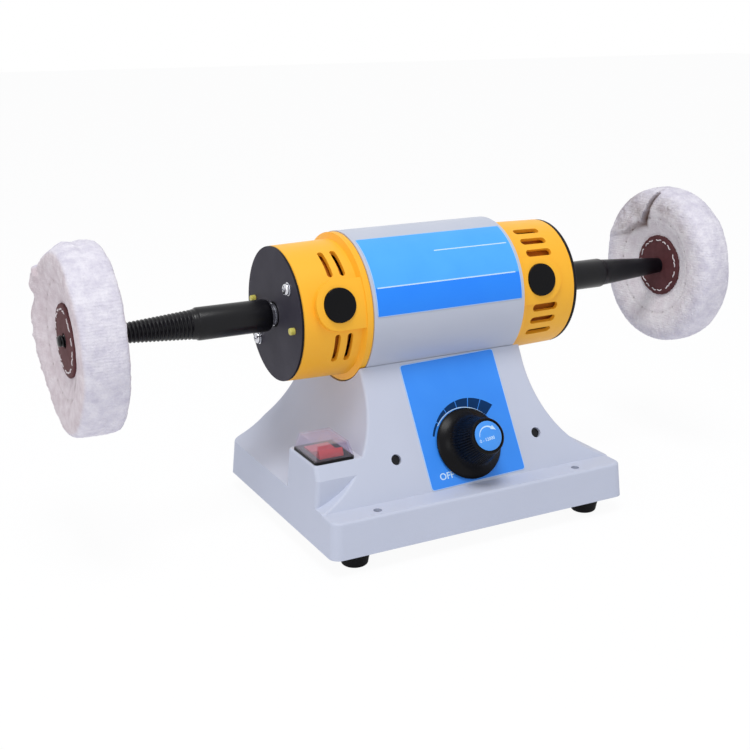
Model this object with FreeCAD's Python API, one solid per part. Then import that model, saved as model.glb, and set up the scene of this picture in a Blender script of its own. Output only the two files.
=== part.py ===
import FreeCAD, Part
import os
from math import asin, atan, cos, degrees, hypot, radians, sin, sqrt, tan

os.makedirs("parts", exist_ok=True)

# Origin: on the bench, under the middle of the base. X runs along the spindle, Y away from the user,
# Z up. All lengths are in millimetres and all angles in degrees.

# Base housing
base_length = 200.0
base_depth = 156.4
block_height = 21.5
foot_height = 10.5
side_draft = 4.2
corner_radius = 6.0
wall = 3.0
edge_round = 1.6
box_round = 2.6
edge_tolerance = 0.05
tower_side_inset = 44.4
sweep_radius = 62.5
panel_foot_inset = 16.7
panel_lean = 28.8
back_overreach = 5.05
saddle_lip = 6.0
cut_over = 5.0

# Motor axis
axis_back = 10.0
tube_underside = 85.55

# Motor casing
tube_radius = 44.75
tube_wall = 1.6
tube_end_inset = 4.6
saddle_gap = 0.3
bell_length = 42.8
bell_step = 4.35
bell_end_step = 0.8
bell_wall = 2.5
collar_step = 0.45
collar_width = 5.4
spigot_length = 6.0
fit_gap = 0.1
disc_step = 0.2
disc_thickness = 1.5
shaft_window_radius = 7.5
yoke_tilt = 15.5

# Ports, bosses and vents of the two bells
port_radius = 9.8
port_lip = 0.6
port_recess = 2.6
port_gap = 0.2
left_port_inset = 22.5
right_port_inset = 27.6
boss_half_width = 14.4
left_boss_rise = 3.2
right_boss_rise = 1.6
boss_depth = 7.0
ring_vent_width = 3.5
ring_vent_inset = 22.2
ring_vent_pitch = 7.7
ring_vent_low_angle = 24.0
ring_vent_high_angle = 51.5
bar_vent_length = 18.4
bar_vent_width = 4.8
bar_vent_inset = 23.6
bar_vent_angles = (24.8, 37.4, 50.9)
peg_radius = 1.9
peg_inset = 11.4
peg_angle = -7.0
peg_length = 2.7

# Tie bolts that clamp the casing
tie_inset = 10.4
tie_angle = 40.5
tie_radius = 2.0
tie_head_radius = 3.4
tie_head_height = 2.6
tie_washer_radius = 3.9
tie_washer_thickness = 0.8

# Bearings and shaft
shaft_radius = 5.0
shaft_reach = 41.2
bearing_radius = 13.0
bearing_width = 8.0
bearing_race = 2.4
bearing_seal_gap = 0.05
bearing_hub_wall = 2.6
bearing_end_gap = 0.4

# Stator and armature
core_inset = 19.0
core_gap = 0.1
yoke_share = 0.151
armature_share = 0.52375
air_gap = 0.6
pole_angle = 105.5
pole_half_angle = 56.0
pole_neck_half_angle = 22.0
coil_half_angle = 50.0
coil_gap = 0.4
coil_overhang = 9.0
winding_overhang = 15.0
winding_radius_share = 0.885
winding_end_radius_share = 0.575
slot_count = 12
slot_width = 2.2
slot_depth_share = 0.177

# Commutator, brushes and fan
commutator_radius = 11.0
commutator_length = 17.0
segment_count = 12
segment_gap = 0.8
segment_depth = 1.0
brush_gap = 0.3
brush_width = 6.2
brush_length = 9.2
brush_height_share = 0.505
holder_radius = 7.6
holder_gap = 0.1
holder_start = 13.5
spring_radius = 2.9
spring_wall = 0.6
fan_tie_gap = 4.0
fan_hub_radius = 10.0
fan_inset = 35.8
fan_width = 12.0
fan_plate = 1.6
blade_count = 10
blade_thickness = 1.4

# Spindles
spindle_gap = 3.7
sleeve_radius = 9.5
sleeve_reach = 48.2
sleeve_chamfer = 1.6
taper_start_radius = 8.7
taper_tip_radius = 3.2
spindle_reach = 125.2
grub_reach = 22.2
grub_radius = 2.0
grub_sink = 0.3
screw_fit = 0.05
tip_slot_width = 1.6
tip_slot_depth = 2.5

# Polishing wheels
left_wheel_inset = 12.7
right_wheel_inset = 19.6
wheel_radius = 52.8
wheel_half_thickness = 12.7
wheel_centre_half_thickness = 5.6
stitch_radius = 31.0
crown_radius = 43.0
leather_radius = 20.4
leather_thickness = 1.6
ease_share = 0.88
bulge_share = 0.975
rim_share = 0.985
rim_width_share = 0.7
corner_share = 0.22
corner_height_share = 0.64

# Speed control on the slanted panel
panel_shift = 2.8
knob_rise = 23.6
knob_radius = 20.6
knob_height = 25.0
knob_gap = 0.5
knob_skirt = 1.6
grip_foot_radius = 14.4
grip_foot_height = 7.0
grip_top_radius = 10.8
grip_rib_count = 32
grip_rib_depth = 0.5
knob_rim_radius = 10.5
cap_radius = 9.4
cap_thickness = 0.8
cap_sink = 0.4
label_side_inset = 22.9
label_thickness = 0.4
label_margin = 1.0
label_turn = 1.5
label_corner = 2.0
pot_shaft_radius = 3.0
pot_shaft_length = 18.0
pot_body_radius = 8.5
pot_body_depth = 9.0
bushing_radius = 3.5
bushing_rise = 3.2
bushing_wall_gap = 0.1
pot_nut_radius = 5.4
pot_nut_thickness = 2.0
pot_fit = 0.05
front_screw_inset = 6.95
front_screw_rise = 22.4
front_screw_radius = 1.5
front_head_radius = 2.7
front_head_height = 1.8
front_recess_radius = 3.2
front_recess_depth = 3.4
front_boss_radius = 4.6

# Speed board behind the panel
board_setback = 15.0
board_thickness = 1.6
board_side_inset = 1.6
board_height = 36.0
heatsink_width_share = 0.2672
heatsink_height = 24.0
heatsink_depth = 12.0
capacitor_radius_share = 0.0668
capacitor_length = 16.0
choke_radius_share = 0.0822
choke_bore_share = 0.4375
choke_length = 7.0
triac_width = 10.0
triac_depth = 4.5
triac_height = 15.0
part_spacing_share = 0.3083

# Switch and its box
box_top = 56.0
box_front_inset = 25.5
box_depth = 40.7
box_reach = 42.0
bezel_width = 24.6
bezel_length = 30.6
bezel_thickness = 1.6
switch_front_inset = 45.6
switch_side_inset = 16.6
switch_body_width = 20.0
switch_body_length = 27.0
switch_body_depth = 20.0
switch_fit = 0.2
switch_wall = 2.2
rocker_gap = 0.35
rocker_swing = 20.0
rocker_end_height = 5.2
rocker_middle_height = 3.2
rocker_underside = 5.0
pivot_radius = 1.0
pivot_drop = 0.8
pivot_fit = 0.05
cover_inset = 0.3
cover_height = 8.9
cover_taper = 2.4
cover_wall = 0.9
blade_width = 6.3
blade_plate = 0.8
blade_drop = 8.0
blade_pitch = 12.0

# Bottom plate, feet and fixings
plate_thickness = 1.2
plate_recess = 0.8
plate_gap = 0.4
plate_vent_count = 7
plate_vent_length = 46.0
plate_vent_width = 4.0
plate_vent_pitch = 11.0
foot_inset_x = 20.0
foot_inset_y = 14.2
foot_top_radius = 9.6
foot_bottom_radius = 7.8
foot_round = 1.8
foot_boss_radius = 4.4
foot_screw_radius = 1.8
foot_screw_reach = 12.0
foot_head_radius = 3.4
foot_head_height = 2.2
foot_head_sink = 3.0
foot_hole_gap = 0.3
bench_hole_side_inset = 32.0
bench_hole_inset = 8.7
bench_hole_radius = 2.5
bench_boss_radius = 5.0
motor_screw_inset = 11.0
motor_screw_radius = 2.0
motor_screw_bite = 5.0
motor_head_radius = 3.6
motor_head_height = 2.6
motor_nut_radius = 3.9
motor_nut_thickness = 2.4
motor_label_thickness = 0.2
motor_label_lift = 0.3
motor_label_steps = 9
motor_label_inset = 1.9
motor_label_low_angle = 3.0
motor_label_high_angle = 69.0

# Cord gland in the back of the tower
gland_side_inset = 11.6
gland_rise = 70.0
gland_thread_radius = 6.0
gland_bore_radius = 3.5
gland_dome_radius = 8.0
gland_dome_length = 6.0
gland_nut_radius = 8.6
gland_nut_thickness = 3.0
gland_fit = 0.15

# Places that follow from the sizes above
half_length = base_length / 2
half_depth = base_depth / 2
half_tower = half_length - tower_side_inset
tower_width = 2 * half_tower
block_top = foot_height + block_height
draft_slope = tan(radians(side_draft))
panel_slope = tan(radians(panel_lean))
axis_y = axis_back
axis_z = tube_underside + tube_radius
saddle_radius = tube_radius + saddle_gap
tube_inner = tube_radius - tube_wall
tube_length = tower_width - 2 * tube_end_inset
half_tube = tube_length / 2
half_casing = half_tube + bell_length
casing_length = 2 * half_casing
bell_end = half_casing - disc_thickness
bell_radius = tube_radius - bell_step
bell_end_radius = bell_radius - bell_end_step
collar_radius = tube_radius - collar_step
disc_radius = bell_end_radius - disc_step
left_boss_radius = bell_radius + left_boss_rise
right_boss_radius = bell_radius + right_boss_rise
left_port_place = half_casing - left_port_inset
right_port_place = half_casing - right_port_inset
ring_vent_places = [half_casing - ring_vent_inset - n * ring_vent_pitch for n in (0, 1)]
bar_vent_place = half_casing - bar_vent_inset
brush_height = (left_boss_radius - port_recess - commutator_radius - brush_gap) * brush_height_share
tie_circle = bell_radius - tie_inset
peg_circle = bell_radius - peg_inset
core_length = tube_length - 2 * core_inset
core_radius = tube_inner - core_gap
yoke_thickness = core_radius * yoke_share
armature_radius = tube_inner * armature_share
slot_depth = armature_radius * slot_depth_share
winding_radius = armature_radius * winding_radius_share
winding_end_radius = armature_radius * winding_end_radius_share
fan_place = half_casing - fan_inset
fan_radius = tie_circle - fan_tie_gap
shaft_length = casing_length + 2 * shaft_reach
spindle_start = half_casing + spindle_gap
grub_place = half_casing + grub_reach
sleeve_end = half_casing + sleeve_reach
spindle_end = half_casing + spindle_reach
left_wheel_place = spindle_end - left_wheel_inset
right_wheel_place = spindle_end - right_wheel_inset
label_width = tower_width - 2 * label_side_inset
gland_place = half_tower - gland_side_inset
front_screw_spacing = tower_width - 2 * front_screw_inset
board_width = tower_width - 2 * board_side_inset
part_spacing = front_screw_spacing * part_spacing_share
heatsink_width = front_screw_spacing * heatsink_width_share
capacitor_radius = front_screw_spacing * capacitor_radius_share
choke_radius = front_screw_spacing * choke_radius_share
choke_bore = choke_radius * choke_bore_share
bench_hole_spacing = base_length - 2 * bench_hole_side_inset
motor_screw_spacing = tube_length - 2 * motor_screw_inset
motor_label_length = tube_length - 2 * motor_label_inset
panel_foot_y = panel_foot_inset - half_depth
switch_x = switch_side_inset - half_length
switch_y = switch_front_inset - half_depth

X_AXIS = FreeCAD.Vector(1, 0, 0)
Y_AXIS = FreeCAD.Vector(0, 1, 0)
Z_AXIS = FreeCAD.Vector(0, 0, 1)
ORIGIN = FreeCAD.Vector(0, 0, 0)


def panel_y(z):
    """Y of the slanted panel's face at height z."""
    return panel_foot_y + (z - block_top) * panel_slope


def tower_top_height():
    """Height at which the slanted panel meets the motor's saddle."""
    offset = panel_foot_y - axis_y
    drop = axis_z - block_top
    a = 1 + panel_slope ** 2
    b = 2 * (offset * panel_slope - drop)
    c = offset ** 2 + drop ** 2 - saddle_radius ** 2
    return block_top + (-b - sqrt(b * b - 4 * a * c)) / (2 * a)


tower_top = tower_top_height()
tower_high = tower_top + 2 * cut_over
tower_back_top_y = axis_y + sqrt(saddle_radius ** 2 - (axis_z - tower_top) ** 2) + saddle_lip
back_slope = (half_depth + back_overreach - tower_back_top_y) / (tower_top - block_top)
back_lean = atan(back_slope)
block_edge_x = half_length - draft_slope * block_height
sweep_centre_x = half_tower + sweep_radius
sweep_centre_z = block_top + sqrt(sweep_radius ** 2 - (sweep_centre_x - block_edge_x) ** 2)


def back_y(z):
    """Y of the tower's slanted back at height z."""
    return tower_back_top_y + (tower_top - z) * back_slope


def export(name, shape):
    shape.exportStep("parts/" + name + ".step")
    solids = len(shape.Solids)
    print(name, "solids", solids, "valid", shape.isValid(), "volume", round(shape.Volume, 1))


def polygon(points):
    return Part.Face(Part.makePolygon([FreeCAD.Vector(*p) for p in points] + [FreeCAD.Vector(*points[0])]))


def fuse(shapes):
    return shapes[0].multiFuse(shapes[1:]).removeSplitter()


def rounded_rectangle(length, depth, radius, z):
    """Closed wire of a rounded rectangle centred on the Z axis."""
    x, y, r = length / 2, depth / 2, radius
    k = r * (1 - sqrt(0.5))
    corners = ((1, 1), (-1, 1), (-1, -1), (1, -1))
    edges = []
    ends = []
    for number, (i, j) in enumerate(corners):
        a = FreeCAD.Vector(i * x, j * (y - r), z)
        m = FreeCAD.Vector(i * (x - k), j * (y - k), z)
        b = FreeCAD.Vector(i * (x - r), j * y, z)
        first, last = (a, b) if number % 2 == 0 else (b, a)
        ends.append((first, last))
        edges.append(Part.Arc(first, m, last).toShape())
    wire_edges = []
    for number in range(4):
        wire_edges.append(edges[number])
        following = ends[(number + 1) % 4][0]
        wire_edges.append(Part.LineSegment(ends[number][1], following).toShape())
    return Part.Wire(wire_edges)


def rounded_plate(length, depth, radius, z, thickness):
    face = Part.Face(rounded_rectangle(length, depth, radius, z))
    return face.extrude(FreeCAD.Vector(0, 0, thickness))


def cylinder_x(radius, start, end, y=axis_y, z=axis_z):
    return Part.makeCylinder(radius, end - start, FreeCAD.Vector(start, y, z), X_AXIS)


def cylinder_z(radius, x, y, bottom, top):
    return Part.makeCylinder(radius, top - bottom, FreeCAD.Vector(x, y, bottom), Z_AXIS)


def turned(profile):
    """Solid of revolution about the motor axis from (x, radius) points."""
    face = polygon([(x, axis_y, axis_z + r) for x, r in profile])
    return face.revolve(FreeCAD.Vector(0, axis_y, axis_z), X_AXIS, 360)


def block_centred(x_size, y_size, bottom, top):
    corner = FreeCAD.Vector(-x_size / 2, -y_size / 2, bottom)
    return Part.makeBox(x_size, y_size, top - bottom, corner)


def radial(shape, x, angle):
    """Puts a shape made about +Z on a radius of the motor at x. Angle 0 faces the user, 90 is up."""
    placed = shape.copy()
    placed.rotate(ORIGIN, X_AXIS, 90 - angle)
    placed.translate(FreeCAD.Vector(x, axis_y, axis_z))
    return placed


def on_panel(shape, x, rise):
    """Puts a shape made about +Z square on the slanted panel, at a distance up its slope."""
    placed = shape.copy()
    placed.rotate(ORIGIN, X_AXIS, 90 - panel_lean)
    lean = radians(panel_lean)
    placed.translate(FreeCAD.Vector(x, panel_foot_y + rise * sin(lean), block_top + rise * cos(lean)))
    return placed


def on_back(shape, x, z):
    """Puts a shape made about +Z square on the tower's slanted back at height z."""
    placed = shape.copy()
    placed.rotate(ORIGIN, X_AXIS, degrees(back_lean) - 90)
    placed.translate(FreeCAD.Vector(x, back_y(z), z))
    return placed


def mirrored_x(shape):
    return shape.mirror(ORIGIN, X_AXIS)


def both_sides(shape):
    """The shape and its copy turned half round the motor axis."""
    other = shape.copy()
    other.rotate(FreeCAD.Vector(0, axis_y, axis_z), X_AXIS, 180)
    return [shape, other]


def sector(inner, outer, start, end, x0, x1):
    """Part of a ring about the motor axis between two angles."""
    def spot(radius, angle):
        a = radians(angle)
        return FreeCAD.Vector(x0, axis_y - radius * cos(a), axis_z + radius * sin(a))
    middle = (start + end) / 2
    edges = [
        Part.Arc(spot(outer, start), spot(outer, middle), spot(outer, end)).toShape(),
        Part.LineSegment(spot(outer, end), spot(inner, end)).toShape(),
        Part.Arc(spot(inner, end), spot(inner, middle), spot(inner, start)).toShape(),
        Part.LineSegment(spot(inner, start), spot(outer, start)).toShape(),
    ]
    return Part.Face(Part.Wire(edges)).extrude(FreeCAD.Vector(x1 - x0, 0, 0))


# Base housing: one moulding, open below, with a block, a tower that carries the motor and a switch box

def envelope(inset, low, high):
    """The drafted, round-cornered outline that trims everything on the base."""
    def outline(z):
        shrink = 2 * (draft_slope * (z - foot_height) + inset)
        radius = corner_radius - inset
        return rounded_rectangle(base_length - shrink, base_depth - shrink, radius, z)
    return Part.makeLoft([outline(low), outline(high)], True, True)


def tower_front(inset):
    """Prism with the concave sweeps of the tower's two sides."""
    radius = sweep_radius + inset
    half = half_tower - inset
    foot_x = half_length + cut_over
    foot_z = sweep_centre_z - sqrt(radius ** 2 - (sweep_centre_x - foot_x) ** 2)
    high = max(tower_high, sweep_centre_z) + cut_over
    low = foot_height - cut_over
    half_turn = asin((sweep_centre_z - foot_z) / radius) / 2
    mid_x = sweep_centre_x - radius * cos(half_turn)
    mid_z = sweep_centre_z - radius * sin(half_turn)
    front = -base_depth
    def at(x, z):
        return FreeCAD.Vector(x, front, z)
    edges = [
        Part.LineSegment(at(-foot_x, low), at(-foot_x, foot_z)).toShape(),
        Part.Arc(at(-foot_x, foot_z), at(-mid_x, mid_z), at(-half, sweep_centre_z)).toShape(),
        Part.LineSegment(at(-half, sweep_centre_z), at(-half, high)).toShape(),
        Part.LineSegment(at(-half, high), at(half, high)).toShape(),
        Part.LineSegment(at(half, high), at(half, sweep_centre_z)).toShape(),
        Part.Arc(at(half, sweep_centre_z), at(mid_x, mid_z), at(foot_x, foot_z)).toShape(),
        Part.LineSegment(at(foot_x, foot_z), at(foot_x, low)).toShape(),
        Part.LineSegment(at(foot_x, low), at(-foot_x, low)).toShape(),
    ]
    return Part.Face(Part.Wire(edges)).extrude(FreeCAD.Vector(0, 2 * base_depth, 0))


def tower_side(inset, top):
    """Prism with the slanted panel and the slanted back."""
    front = inset / cos(radians(panel_lean))
    back = inset / cos(back_lean)
    low = foot_height - cut_over
    points = [
        (panel_y(low) + front, low),
        (panel_y(top) + front, top),
        (back_y(top) - back, top),
        (back_y(low) - back, low),
    ]
    face = polygon([(-base_length, y, z) for y, z in points])
    return face.extrude(FreeCAD.Vector(2 * base_length, 0, 0))


def switch_box(inset):
    """Raised box at the left end of the base. Its front is flush with the panel's plane."""
    low = foot_height - cut_over
    top = box_top - inset
    front = box_front_inset - half_depth + inset
    slant = inset / cos(radians(panel_lean))
    meets = block_top + (front - slant - panel_foot_y) / panel_slope
    back = box_front_inset + box_depth - half_depth - inset
    points = [(front, low), (front, meets), (panel_y(top) + slant, top), (back, top), (back, low)]
    face = polygon([(-base_length, y, z) for y, z in points])
    return face.extrude(FreeCAD.Vector(base_length - half_length + box_reach - inset, 0, 0))


def base_form(inset, low):
    limits = envelope(inset, low, tower_high)
    block = envelope(inset, low, block_top - inset)
    tower = tower_front(inset).common(tower_side(inset, tower_top - inset)).common(limits)
    box = switch_box(inset).common(limits)
    return fuse([block, tower, box])


def samples(edge):
    """Start, middle and end points of an edge."""
    span = edge.LastParameter - edge.FirstParameter
    return [edge.valueAt(edge.FirstParameter + span * share) for share in (0, 0.5, 1)]


def edges_where(shape, test):
    return [edge for edge in shape.Edges if all(test(point) for point in samples(edge))]


def same(a, b):
    return abs(a - b) < edge_tolerance


def on_panel_face(point):
    return same(point.y, panel_y(point.z))


def on_back_face(point):
    return same(point.y, back_y(point.z))


def on_sweep(point):
    x = abs(point.x)
    if point.z > sweep_centre_z:
        return same(x, half_tower)
    return same(hypot(x - sweep_centre_x, point.z - sweep_centre_z), sweep_radius)


def is_upright(edge):
    first, _, last = samples(edge)
    return abs(first.z - last.z) > 2 * box_round


def lip_limit():
    """Prism that ends the tower level at its top, with the lip behind the saddle rounded."""
    low = foot_height - cut_over
    reach = edge_round / tan((radians(90) + back_lean) / 2)
    mid_y, mid_z = tower_back_top_y - reach, tower_top - edge_round
    away = hypot(reach, edge_round)
    def at(y, z):
        return FreeCAD.Vector(-base_length, y, z)
    first = at(mid_y, tower_top)
    bend = at(mid_y + edge_round * reach / away, mid_z + edge_round * edge_round / away)
    last = at(tower_back_top_y + reach * sin(back_lean), tower_top - reach * cos(back_lean))
    corners = [last, at(back_y(low), low), at(-base_depth, low), at(-base_depth, tower_top), first]
    edges = [Part.LineSegment(a, b).toShape() for a, b in zip(corners, corners[1:])]
    edges.append(Part.Arc(first, bend, last).toShape())
    return Part.Face(Part.Wire(edges)).extrude(FreeCAD.Vector(2 * base_length, 0, 0))


def outer_form():
    """The housing's outside with its edges rounded, before it is hollowed."""
    limits = envelope(0, foot_height, tower_high)
    block = envelope(0, foot_height, block_top)
    block = block.makeFillet(edge_round, edges_where(block, lambda p: same(p.z, block_top)))

    tower = tower_front(0).common(tower_side(0, tower_high))
    front = edges_where(tower, lambda p: on_panel_face(p) and on_sweep(p))
    back = edges_where(tower, lambda p: on_back_face(p) and on_sweep(p))
    tower = tower.makeFillet(edge_round, front + back).common(limits).common(lip_limit())

    box = switch_box(0).common(limits)
    upright = [e for e in box.Edges if is_upright(e) and samples(e)[1].x < switch_x]
    box = box.makeFillet(box_round, upright)
    box = box.makeFillet(edge_round, edges_where(box, lambda p: same(p.z, box_top)))
    return fuse([block, tower, box])


foot_places = [(i * (half_length - foot_inset_x), j * (half_depth - foot_inset_y))
               for i in (-1, 1) for j in (-1, 1)]
bench_hole_y = bench_hole_inset - half_depth
bench_places = [(i * bench_hole_spacing / 2, bench_hole_y) for i in (-1, 1)]
front_screw_places = [panel_shift + i * front_screw_spacing / 2 for i in (-1, 1)]
plate_bottom = foot_height + plate_recess
plate_top = plate_bottom + plate_thickness


def base_housing():
    saddle = cylinder_x(saddle_radius, -base_length, base_length)
    outer = outer_form().cut(saddle)
    cavity = base_form(wall, foot_height - cut_over)
    cavity = cavity.cut(cylinder_x(saddle_radius + wall, -base_length, base_length))
    bosses = [cylinder_z(foot_boss_radius, x, y, plate_top, axis_z) for x, y in foot_places]
    bosses += [cylinder_z(bench_boss_radius, x, y, plate_top, axis_z) for x, y in bench_places]
    for x in front_screw_places:
        post = Part.makeCylinder(front_boss_radius, board_setback, FreeCAD.Vector(0, 0, -board_setback))
        bosses.append(on_panel(post, x, front_screw_rise))
    cavity = cavity.cut(Part.makeCompound(bosses))
    body = outer.cut(cavity)
    holes = []
    for x, y in foot_places:
        reach = plate_top + foot_screw_reach
        holes.append(cylinder_z(foot_screw_radius, x, y, foot_height, reach))
    for x, y in bench_places:
        holes.append(cylinder_z(bench_hole_radius, x, y, foot_height - cut_over, block_top + cut_over))
    for x in front_screw_places:
        shank = Part.makeCylinder(front_screw_radius, 2 * board_setback, FreeCAD.Vector(0, 0, -board_setback))
        recess = Part.makeCylinder(front_recess_radius, cut_over, FreeCAD.Vector(0, 0, -front_recess_depth))
        holes.append(on_panel(shank.fuse(recess), x, front_screw_rise))
    bushing = Part.makeCylinder(bushing_radius + bushing_wall_gap, 2 * cut_over, FreeCAD.Vector(0, 0, -cut_over))
    holes.append(on_panel(bushing, panel_shift, knob_rise))
    opening = block_centred(switch_body_width + 2 * switch_fit, switch_body_length + 2 * switch_fit,
                            box_top - cut_over, box_top + cut_over)
    opening.translate(FreeCAD.Vector(switch_x, switch_y, 0))
    holes.append(opening)
    gland = Part.makeCylinder(gland_thread_radius + gland_fit, 2 * cut_over, FreeCAD.Vector(0, 0, -cut_over))
    holes.append(on_back(gland, gland_place, gland_rise))
    for i in (-1, 1):
        x = i * motor_screw_spacing / 2
        holes.append(cylinder_z(motor_screw_radius + fit_gap, x, axis_y, axis_z - 2 * saddle_radius, axis_z))
    for hole in holes:
        body = body.cut(hole)
    return body


housing = base_housing()
export("base_housing", housing)


# Bottom plate, feet and their screws

def bottom_plate():
    shrink = 2 * (wall + plate_gap + draft_slope * (plate_top - foot_height))
    corner = corner_radius - wall - plate_gap
    plate = rounded_plate(base_length - shrink, base_depth - shrink, corner, plate_bottom, plate_thickness)
    cuts = [cylinder_z(foot_screw_radius + foot_hole_gap, x, y, foot_height, axis_z) for x, y in foot_places]
    cuts += [cylinder_z(bench_hole_radius, x, y, foot_height, axis_z) for x, y in bench_places]
    middle = (plate_vent_count - 1) / 2
    for number in range(plate_vent_count):
        slot = rounded_plate(plate_vent_width, plate_vent_length, plate_vent_width / 2 - fit_gap,
                             foot_height, block_height)
        slot.translate(FreeCAD.Vector((number - middle) * plate_vent_pitch, 0, 0))
        cuts.append(slot)
    return plate.cut(Part.makeCompound(cuts))


def rubber_foot(x, y):
    top = plate_bottom
    r = foot_round
    k = r * (1 - sqrt(0.5))
    bore = foot_screw_radius + foot_hole_gap
    pocket = foot_head_radius + foot_hole_gap
    pocket_top = foot_head_sink + foot_head_height
    def at(radius, z):
        return FreeCAD.Vector(x + radius, y, z)
    low = foot_bottom_radius
    points = [at(low, r), at(foot_top_radius, top), at(bore, top), at(bore, pocket_top),
              at(pocket, pocket_top), at(pocket, 0), at(low - r, 0)]
    edges = [Part.LineSegment(a, b).toShape() for a, b in zip(points, points[1:])]
    edges.append(Part.Arc(at(low - r, 0), at(low - k, k), at(low, r)).toShape())
    face = Part.Face(Part.Wire(edges))
    return face.revolve(FreeCAD.Vector(x, y, 0), Z_AXIS, 360)


def foot_screw(x, y):
    seat = foot_head_sink + foot_head_height
    head = cylinder_z(foot_head_radius, x, y, foot_head_sink, seat)
    tip = plate_top + foot_screw_reach - fit_gap
    shank = cylinder_z(foot_screw_radius - screw_fit, x, y, seat, tip)
    return head.fuse(shank).removeSplitter()


export("bottom_plate", bottom_plate())
export("rubber_feet", Part.makeCompound([rubber_foot(x, y) for x, y in foot_places]))
export("foot_screws", Part.makeCompound([foot_screw(x, y) for x, y in foot_places]))


# Slanted panel: label, speed knob, potentiometer and the speed board behind the wall

def hexagon(radius, low, high):
    """Six-sided prism about +Z. The radius is half the width across the flats."""
    reach = radius / cos(radians(30))
    corners = [(reach * cos(radians(60 * n)), reach * sin(radians(60 * n)), low) for n in range(6)]
    return polygon(corners).extrude(FreeCAD.Vector(0, 0, high - low))


def disc(radius, low, high, x=0.0, y=0.0):
    return Part.makeCylinder(radius, high - low, FreeCAD.Vector(x, y, low), Z_AXIS)


def panel_label():
    length = (tower_top - block_top) / cos(radians(panel_lean)) - 2 * label_margin
    plate = rounded_plate(label_width, length, label_corner, 0, label_thickness)
    plate.rotate(ORIGIN, Z_AXIS, label_turn)
    plate.translate(FreeCAD.Vector(0, length / 2 + label_margin - knob_rise, 0))
    hole = disc(bushing_radius + bushing_wall_gap, -label_thickness, 2 * label_thickness)
    return on_panel(plate.cut(hole), panel_shift, knob_rise)


def star(radius, z):
    """Closed zigzag outline for the ribs of the knob's grip."""
    points = []
    count = 2 * grip_rib_count
    for number in range(count):
        r = radius if number % 2 == 0 else radius - grip_rib_depth
        a = 2 * 180 * number / count
        points.append(FreeCAD.Vector(r * cos(radians(a)), r * sin(radians(a)), z))
    return Part.makePolygon(points + [points[0]])


knob_bottom = label_thickness + knob_gap
knob_recess_top = label_thickness + pot_nut_thickness + 2 * knob_gap + bushing_rise / 2


def control_knob():
    def at(radius, z):
        return FreeCAD.Vector(radius, 0, z)
    bend_in = 0.62
    bend_up = 0.3
    edge_top = knob_bottom + knob_skirt
    bend = at(knob_radius - (knob_radius - grip_foot_radius) * bend_in,
              edge_top + (grip_foot_height - edge_top) * bend_up)
    flare_foot = at(knob_radius, edge_top)
    flare_top = at(grip_foot_radius, grip_foot_height)
    edges = [
        Part.LineSegment(at(0, knob_bottom), at(knob_radius, knob_bottom)).toShape(),
        Part.LineSegment(at(knob_radius, knob_bottom), flare_foot).toShape(),
        Part.Arc(flare_foot, bend, flare_top).toShape(),
        Part.LineSegment(flare_top, at(0, grip_foot_height)).toShape(),
        Part.LineSegment(at(0, grip_foot_height), at(0, knob_bottom)).toShape(),
    ]
    skirt = Part.Face(Part.Wire(edges)).revolve(ORIGIN, Z_AXIS, 360)
    grip_end = knob_height - cap_thickness
    grip = Part.makeLoft([star(grip_foot_radius, grip_foot_height), star(grip_top_radius, grip_end)], True, True)
    rim = disc(knob_rim_radius - grip_rib_depth, grip_end, knob_height)
    knob = fuse([skirt, grip, rim])
    hub_top = pot_shaft_length + fit_gap
    knob = knob.cut(disc(knob_rim_radius, knob_bottom - knob_gap, knob_recess_top))
    knob = knob.cut(disc(pot_shaft_radius, knob_bottom, hub_top))
    return knob.cut(disc(cap_radius, knob_height - cap_sink, knob_height + cut_over))


def potentiometer():
    body_top = -wall
    body = disc(pot_body_radius, body_top - pot_body_depth, body_top)
    bushing = disc(bushing_radius, body_top, bushing_rise)
    pins = []
    for i in (-1, 0, 1):
        pin = Part.makeBox(blade_plate, blade_plate, board_setback + board_thickness - wall - pot_body_depth)
        pin.translate(FreeCAD.Vector((i - blade_plate / 2) * 5 * blade_plate, 0, -board_setback - board_thickness))
        pins.append(pin)
    whole = fuse([body, bushing] + pins)
    return whole.cut(disc(pot_shaft_radius + pot_fit, body_top - pot_body_depth / 2, cut_over + bushing_rise))


def potentiometer_shaft():
    return disc(pot_shaft_radius, -wall - pot_body_depth / 2 + fit_gap, pot_shaft_length)


def potentiometer_nut():
    low = label_thickness
    nut = hexagon(pot_nut_radius, low, low + pot_nut_thickness)
    return nut.cut(disc(bushing_radius, -low, low + 2 * pot_nut_thickness))


def front_screw():
    seat = -front_recess_depth
    head = disc(front_head_radius, seat, seat + front_head_height)
    tip = -board_setback - board_thickness - 2 * front_head_height
    return fuse([head, disc(front_screw_radius - screw_fit, tip, seat)])


def board_nut():
    top = -board_setback - board_thickness
    nut = hexagon(front_head_radius, top - front_head_height, top)
    return nut.cut(disc(front_screw_radius, top - cut_over, top + cut_over))


board_back = -board_setback - board_thickness


def speed_board():
    board = block_centred(board_width, board_height, board_back, -board_setback)
    cuts = []
    for i in (-1, 1):
        cuts.append(disc(front_screw_radius, -2 * board_setback, 0, i * front_screw_spacing / 2,
                         front_screw_rise - knob_rise))
    for i in (-1, 0, 1):
        hole = Part.makeBox(blade_plate, blade_plate, board_setback)
        hole.translate(FreeCAD.Vector((i - blade_plate / 2) * 5 * blade_plate, 0, -board_setback - cut_over))
        cuts.append(hole)
    return board.cut(Part.makeCompound(cuts))


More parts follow.
